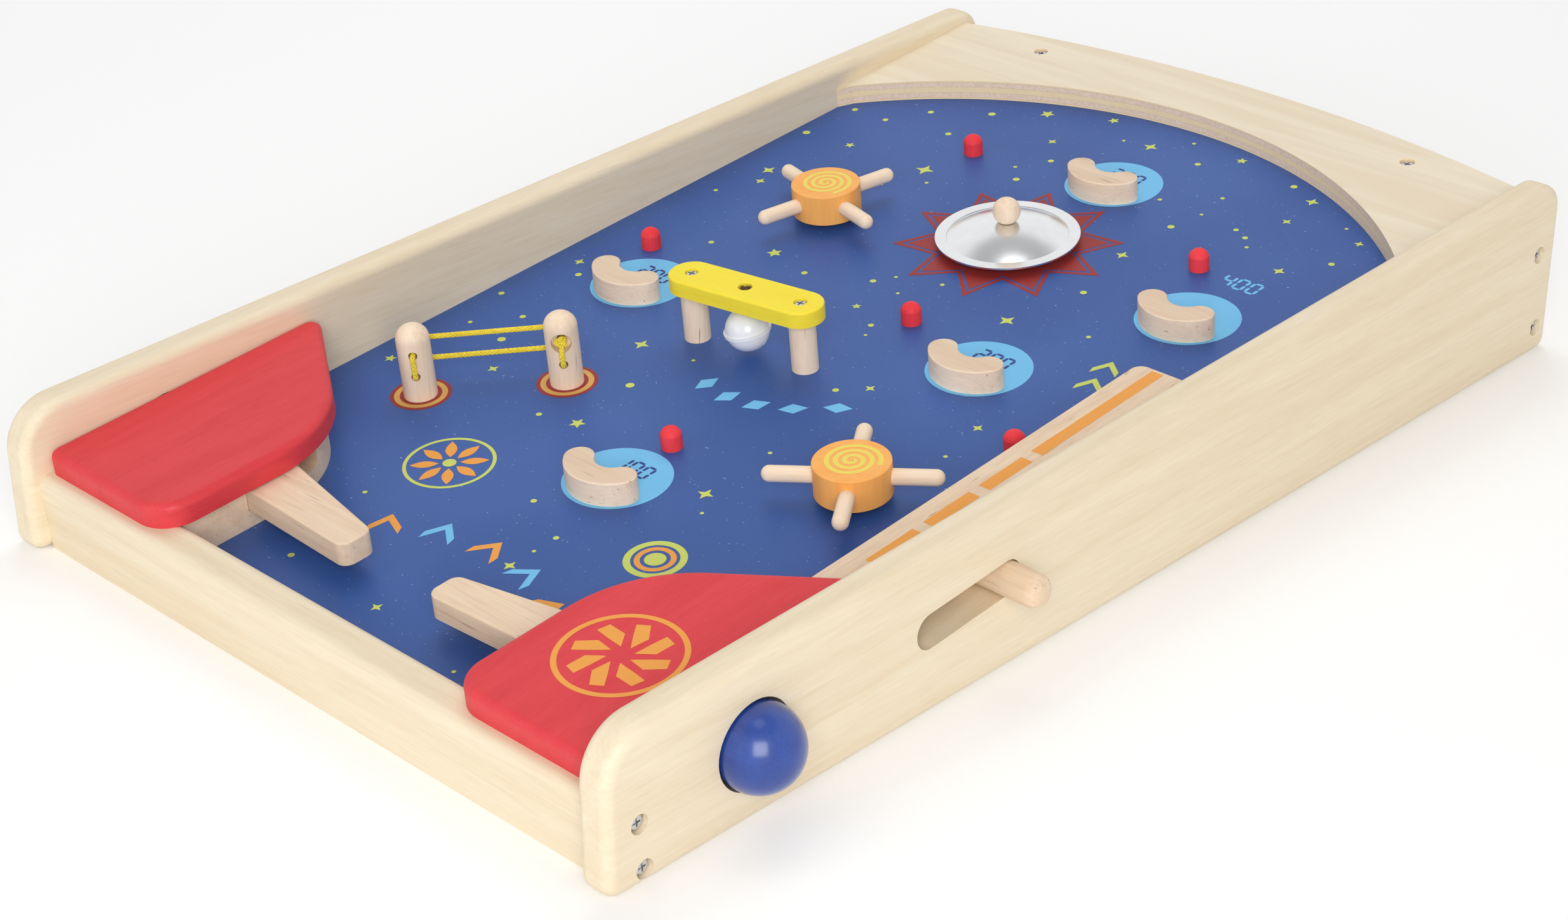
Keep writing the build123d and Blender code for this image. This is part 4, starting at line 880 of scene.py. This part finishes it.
radius = entry["Core"] + entry["Weave"] * winding * wave
normal = route.made("GeometryNodeInputNormal", {}, {})
tangent = route.made("GeometryNodeInputTangent", {}, {})
sideways = route.vector("CROSS_PRODUCT", tangent, normal)
shifts = []
for direction, turning in ((normal, "COSINE"), (sideways, "SINE")):
    scaled = {0: direction, "Scale": radius * angle.math(turning, angle)}
    shifts.append(route.made("ShaderNodeVectorMath", {"operation": "SCALE"}, scaled))
shift = route.vector("ADD", *shifts)
wound = route.made("GeometryNodeSetPosition", {}, {"Geometry": copies, "Offset": shift})
section = {"Resolution": 6, "Radius": entry["Thread"]}
profile = route.made("GeometryNodeCurvePrimitiveCircle", {}, section)
tubes = {"Curve": wound, "Profile Curve": profile, "Fill Caps": True}
strands_on_a_path = end_tree(tree, route.made("GeometryNodeCurveToMesh", {}, tubes), entry["Fibre"])
print("strand tree nodes", len(tree.nodes))

# %% [markdown]
# A cord finish is many fine filaments along each strand, so the tone changes in short soft
# streaks. The elastic is silky yellow, the bell cord dull brown.


# %% Cord finishes
def cord_fibre(name, light, dark, sheen):
    """Soft filaments of a cord."""
    material, surface, place = new_material(name)
    filaments = place.noise(2400.0, 2.0)
    patches = place.noise(500.0, 2.0)
    tone = (filaments * 0.6 + patches * 0.4).ramp(0.3, 0.7)
    set_surface(surface, Base_Color=tone.mix(light, dark), Sheen_Weight=sheen)
    set_surface(surface, Roughness=0.5 + filaments * 0.2, Normal=filaments.bump(0.00005))
    return material


yellow_fibre = cord_fibre("yellow_elastic", srgb(253, 234, 78), srgb(230, 200, 40), 0.15)
brown_fibre = cord_fibre("brown_cord", srgb(110, 78, 58), srgb(66, 46, 36), 0.1)
print("cord fibres", yellow_fibre.name, brown_fibre.name)

# %% [markdown]
# A cord follows a smooth path through a few points, and a knot is the same kind of path, closed
# and wound through itself. The path is made a wire mesh first, and the strands are laid on that.

# %% Cord paths
KNOT_STEPS = 24


def path_mesh(name, routes):
    """Smooth paths through these routes of points, as one wire mesh."""
    curve = bpy.data.curves.new(name, "CURVE")
    curve.dimensions = "3D"
    curve.resolution_u = 24
    for points, closed in routes:
        spline = curve.splines.new("NURBS")
        spline.points.add(len(points) - 1)
        for point, place in zip(spline.points, points):
            point.co = (*place, 1.0)
        spline.use_cyclic_u = closed
        spline.use_endpoint_u = not closed
        spline.order_u = 3
    holder = bpy.data.objects.new(name, curve)
    bpy.context.scene.collection.objects.link(holder)
    depsgraph = bpy.context.evaluated_depsgraph_get()
    mesh = bpy.data.meshes.new_from_object(holder.evaluated_get(depsgraph), depsgraph=depsgraph)
    bpy.data.objects.remove(holder)
    return mesh


def knot_points(middle, size, facing):
    """An overhand knot drawn tight, as a closed path about a middle."""
    points = []
    for step in range(KNOT_STEPS):
        t = TURN * step / KNOT_STEPS
        x = math.sin(t) + 2 * math.sin(2 * t)
        y = math.cos(t) - 2 * math.cos(2 * t)
        points.append(middle + facing @ Vector((x, y, -math.sin(3 * t))) * size)
    return points


def corded(name, routes, values, body, slot, *nodes):
    """A piece of cord along its routes, in place of the plain solids."""
    mesh = grown(name, path_mesh(name + "_path", routes), strands_on_a_path, values)
    mesh.shade_smooth()
    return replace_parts(keep(name, mesh, body), *nodes)


# %% [markdown]
# The elastic goes twice between the posts. It starts at a knot in the recess of the right post,
# passes through both posts at the upper holes, comes back at the lower ones and rises to the knot
# again. It is stretched, so its runs are straight and it turns sharply at each hole: close to a
# corner, a point on either side keeps the path tight.

# %% Elastic band
BAND_START, BAND_END = (Vector((u, v, 0)) * MM for u, v in POSTS)
run = BAND_END - BAND_START
SPAN = run.length / MM
run_turn = Matrix.Rotation(math.atan2(run.y, run.x), 4, "Z")
BAND_FRAME = FIELD @ Matrix.Translation(BAND_START) @ run_turn
UPPER, LOWER, REAR, NEAR = 23.2, 12.8, 9.1, -9.1
HOLE, BEND = 6.6, 2.5
KNOT_Y, TUCK = -5.8, 1.3
band_points = [
    (SPAN, KNOT_Y + TUCK, UPPER), (SPAN, HOLE, UPPER), (SPAN, REAR, UPPER),
    (SPAN - BEND, REAR, UPPER), (BEND, REAR, UPPER), (0, REAR, UPPER),
    (0, HOLE, UPPER), (0, -HOLE, UPPER), (0, NEAR, UPPER),
    (0, NEAR, UPPER - BEND), (0, NEAR, LOWER + BEND), (0, NEAR, LOWER),
    (0, -HOLE, LOWER), (0, HOLE, LOWER), (0, REAR, LOWER),
    (BEND, REAR, LOWER), (SPAN - BEND, REAR, LOWER), (SPAN, REAR, LOWER),
    (SPAN, HOLE, LOWER), (SPAN, -HOLE, LOWER), (SPAN, NEAR, LOWER),
    (SPAN, NEAR, LOWER + BEND), (SPAN, NEAR, UPPER - 3.3), (SPAN, KNOT_Y - TUCK, UPPER - TUCK),
]
band_route = [BAND_FRAME @ (Vector(point) * MM) for point in band_points]
knot_middle = BAND_FRAME @ (Vector((SPAN, KNOT_Y, UPPER)) * MM)
tipped = BAND_FRAME.to_3x3() @ Matrix.Rotation(math.radians(80), 3, "X")
knot_route = knot_points(knot_middle, 0.68 * MM, tipped @ Matrix.Rotation(0.5, 3, "Z"))
elastic = {"Strands": 8, "Back": 1.0, "Core": 0.76 * MM, "Weave": 0.10 * MM, "Pitch": 8.0 * MM,
           "Thread": 0.40 * MM, "Fibre": yellow_fibre}
band_length = sum((b - a).length for a, b in zip(band_route, band_route[1:]))
print("elastic between its knots", round(band_length / MM, 1), "mm")
band_routes = [(band_route, False), (knot_route, True)]
corded("elastic_band", band_routes, elastic, "base", "yellow_cord", "band_cord")

# %% [markdown]
# The bell hangs on a short brown cord under the yellow bar. The cord goes up through the bar to a
# knot in a small recess on top. The part under the bar swings with the bell, the knot stays.

# %% Bell cord
BAR_PLACE = Vector((-26.4, 283.5, 0)) * MM
BAR_TURN = math.radians(8.7)
BAR_FRAME = FIELD @ Matrix.Translation(BAR_PLACE) @ Matrix.Rotation(BAR_TURN, 4, "Z")
PIVOT_HEIGHT, STEM_HEIGHT, KNOT_HEIGHT = 24.4 * MM, 25.6 * MM, 31.5 * MM
BELL_DIP, FOLD = 0.9 * MM, 0.6 * MM
pivot = BAR_FRAME @ Vector((0, 0, PIVOT_HEIGHT))
bell_top = Vector((pivot.x, pivot.y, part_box("bell_shell")[1].z - BELL_DIP))
twisted = {"Strands": 3, "Back": 0.0, "Core": 0.40 * MM, "Weave": 0.0, "Pitch": 3.2 * MM,
           "Thread": 0.40 * MM, "Fibre": brown_fibre}
hang = (bell_top, bell_top.lerp(pivot, 0.5), pivot + Vector((0, 0, FOLD)))
corded("bell_hanging_cord", [(hang, False)], twisted, "bell", "dark_cord", "bell_cord")
knot_spot = BAR_FRAME @ Vector((0, 0, KNOT_HEIGHT))
under = BAR_FRAME @ Vector((0, 0, STEM_HEIGHT))
knot_route = knot_points(knot_spot, 0.72 * MM, BAR_FRAME.to_3x3())
stem = (under, under.lerp(knot_spot, 0.5), knot_spot)
knot_routes = [(stem, False), (knot_route, True)]
corded("bell_cord_knot", knot_routes, twisted, "base", "dark_cord", "bell_knot")

# %% [markdown]
# ## Springs
#
# A spring closes up when its ball is pushed in or the plunger is drawn back. Each coil here is a
# copy of the wound wire that rides on the case; the length left at the end of the stroke is worked
# out and printed, but the coil keeps its full length. The coils sit inside the case, and only the
# plunger's can be seen, through the slot.

# %% Springs
joints = frame["record"]["behaviour"]["joints"]
STROKES = {joint["name"]: joint["range_m"][1] for joint in joints if "range_m" in joint}


def closing_spring(node, joint, axis):
    """A copy of the coil on the case, with its length before and after the stroke of its joint."""
    mesh = frame["nodes"][node].data.copy()
    reach = [corner.co.dot(axis) for corner in mesh.vertices]
    length = max(reach) - min(reach)
    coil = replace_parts(keep(node + "_coil", mesh, "base"), node)
    1 - STROKES[joint] / length
    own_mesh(coil)
    closed = length - STROKES[joint]
    print(node, "from", round(length / MM, 1), "to", round(closed / MM, 1), "mm")


closing_spring("plunger_spring", "plunger_pull", FIELD.to_3x3() @ Vector((0, 1, 0)))
closing_spring("right_button_spring", "right_button_push", Vector((1, 0, 0)))
closing_spring("left_button_spring", "left_button_push", Vector((-1, 0, 0)))

# %% [markdown]
# ## Floor and light
#
# The game stands on a white sweep in soft light. A large lamp behind on the left gives the short
# shadows, a broad one on the right fills the side that the camera sees, and the white room fills
# the rest.


# %% Stage
def seen_directly(tree):
    """One for a ray from the camera, a gloss or a clear body, and nought for stray light."""
    rays = tree.nodes.new("ShaderNodeLightPath")
    seen = Wire(rays.outputs["Is Camera Ray"])
    seen = seen.math("MAXIMUM", seen, Wire(rays.outputs["Is Glossy Ray"]))
    return seen.math("MAXIMUM", seen, Wire(rays.outputs["Is Transmission Ray"]))


def floor_finish():
    """Matt white paper that keeps the shadow and is lifted towards white where it is seen."""
    material, surface, place = new_material("white_sweep")
    fibres = place.noise(300.0, 2.0)
    set_surface(surface, Base_Color=fibres.mix(srgb(250, 250, 250), srgb(247, 247, 247)))
    set_surface(surface, Roughness=0.85 + fibres * 0.1, Normal=fibres.bump(0.00002))
    lift = seen_directly(material.node_tree).mix(srgb(0, 0, 0), srgb(255, 255, 255))
    set_surface(surface, Emission_Color=lift, Emission_Strength=FLOOR_LIFT)
    return material


def lamp(name, place, aim, size, watts, mirrored=True):
    """A square soft lamp that points at a place."""
    light = bpy.data.lights.new(name, "AREA")
    light.size = size
    light.energy = watts
    stand = bpy.data.objects.new(name, light)
    stand.location = place
    stand.rotation_euler = (Vector(aim) - Vector(place)).to_track_quat("-Z", "Y").to_euler()
    stand.visible_glossy = mirrored
    bpy.context.scene.collection.objects.link(stand)


FLOOR_HALF, FLOOR_LIFT = 8, 0.12
corners = [(-1, -1), (1, -1), (1, 1), (-1, 1)]
sheet = bpy.data.meshes.new("sweep")
sheet.from_pydata([(FLOOR_HALF * x, FLOOR_HALF * y, 0) for x, y in corners], [], [(0, 1, 2, 3)])
sheet.materials.append(floor_finish())
floor = bpy.data.objects.new("sweep", sheet)
bpy.context.scene.collection.objects.link(floor)
lamp("rear_left_lamp", (-0.7, 0.7, 1.9), (0, 0, 0), 1.5, 15.0, mirrored=False)
lamp("right_fill", (1.5, -1.45, 1.0), (0, 0, 0.05), 1.2, 28.0)
lamp("front_fill", (-0.6, -2.2, 0.6), (0, 0, 0.05), 1.2, 6.0)

# %% [markdown]
# The room gives an even stray light. What shines mirrors it: white walls, a darker ceiling and a
# glow overhead, which give the dome its grey band and bright spot. The large lamp isn't mirrored,
# because it would show as a white square in the middle of the dome.

# %% White room
STRAY, WALLS, CEILING, GLOW = 0.42, 0.58, 0.48, 1.2
world = bpy.data.worlds.new("white_room")
bpy.context.scene.world = world
world.use_nodes = True
room = world.node_tree.nodes["Background"]
room.inputs["Color"].default_value = (1, 1, 1, 1)
heading = Wire(world.node_tree.nodes.new("ShaderNodeTexCoord").outputs["Generated"])
rise = heading.along((0, 0, 1))
mirrored = WALLS - rise.ramp(0.72, 0.88) * CEILING + rise.ramp(0.970, 0.990) * GLOW
strength = seen_directly(world.node_tree) * mirrored + STRAY
world.node_tree.links.new(strength.socket, room.inputs["Strength"])
bpy.context.scene.view_settings.view_transform = "Standard"
print("room nodes", len(world.node_tree.nodes))

# %% [markdown]
# ## Camera
#
# The camera looks down from the front right corner with a longish lens and leans a little to one
# side. Three directions set it up: back towards the lens, right and up, turned by that lean.

# %% Camera
AZIMUTH, ELEVATION, ROLL = math.radians(45.31), math.radians(26.64), math.radians(-1.02)
AIM = Vector((-8.28, -50.52, 40.0)) * MM
DISTANCE = 1.26919
flat = math.cos(ELEVATION)
back = Vector((math.sin(AZIMUTH) * flat, -math.cos(AZIMUTH) * flat, math.sin(ELEVATION)))
level = (-back).cross(Vector((0, 0, 1))).normalized()
over = level.cross(-back)
right = level * math.cos(ROLL) + over * math.sin(ROLL)
up = over * math.cos(ROLL) - level * math.sin(ROLL)
lens = bpy.data.cameras.new("photo_camera")
lens.sensor_width = 36.0
lens.lens = 67.61
lens.shift_x = 0.0314
lens.shift_y = -0.0469
camera = bpy.data.objects.new("photo_camera", lens)
facing = Matrix((right, up, back)).transposed().to_4x4()
camera.matrix_world = Matrix.Translation(AIM + back * DISTANCE) @ facing
bpy.context.scene.collection.objects.link(camera)
bpy.context.scene.camera = camera
print("camera at", tuple(round(x, 3) for x in camera.location))

# %% [markdown]
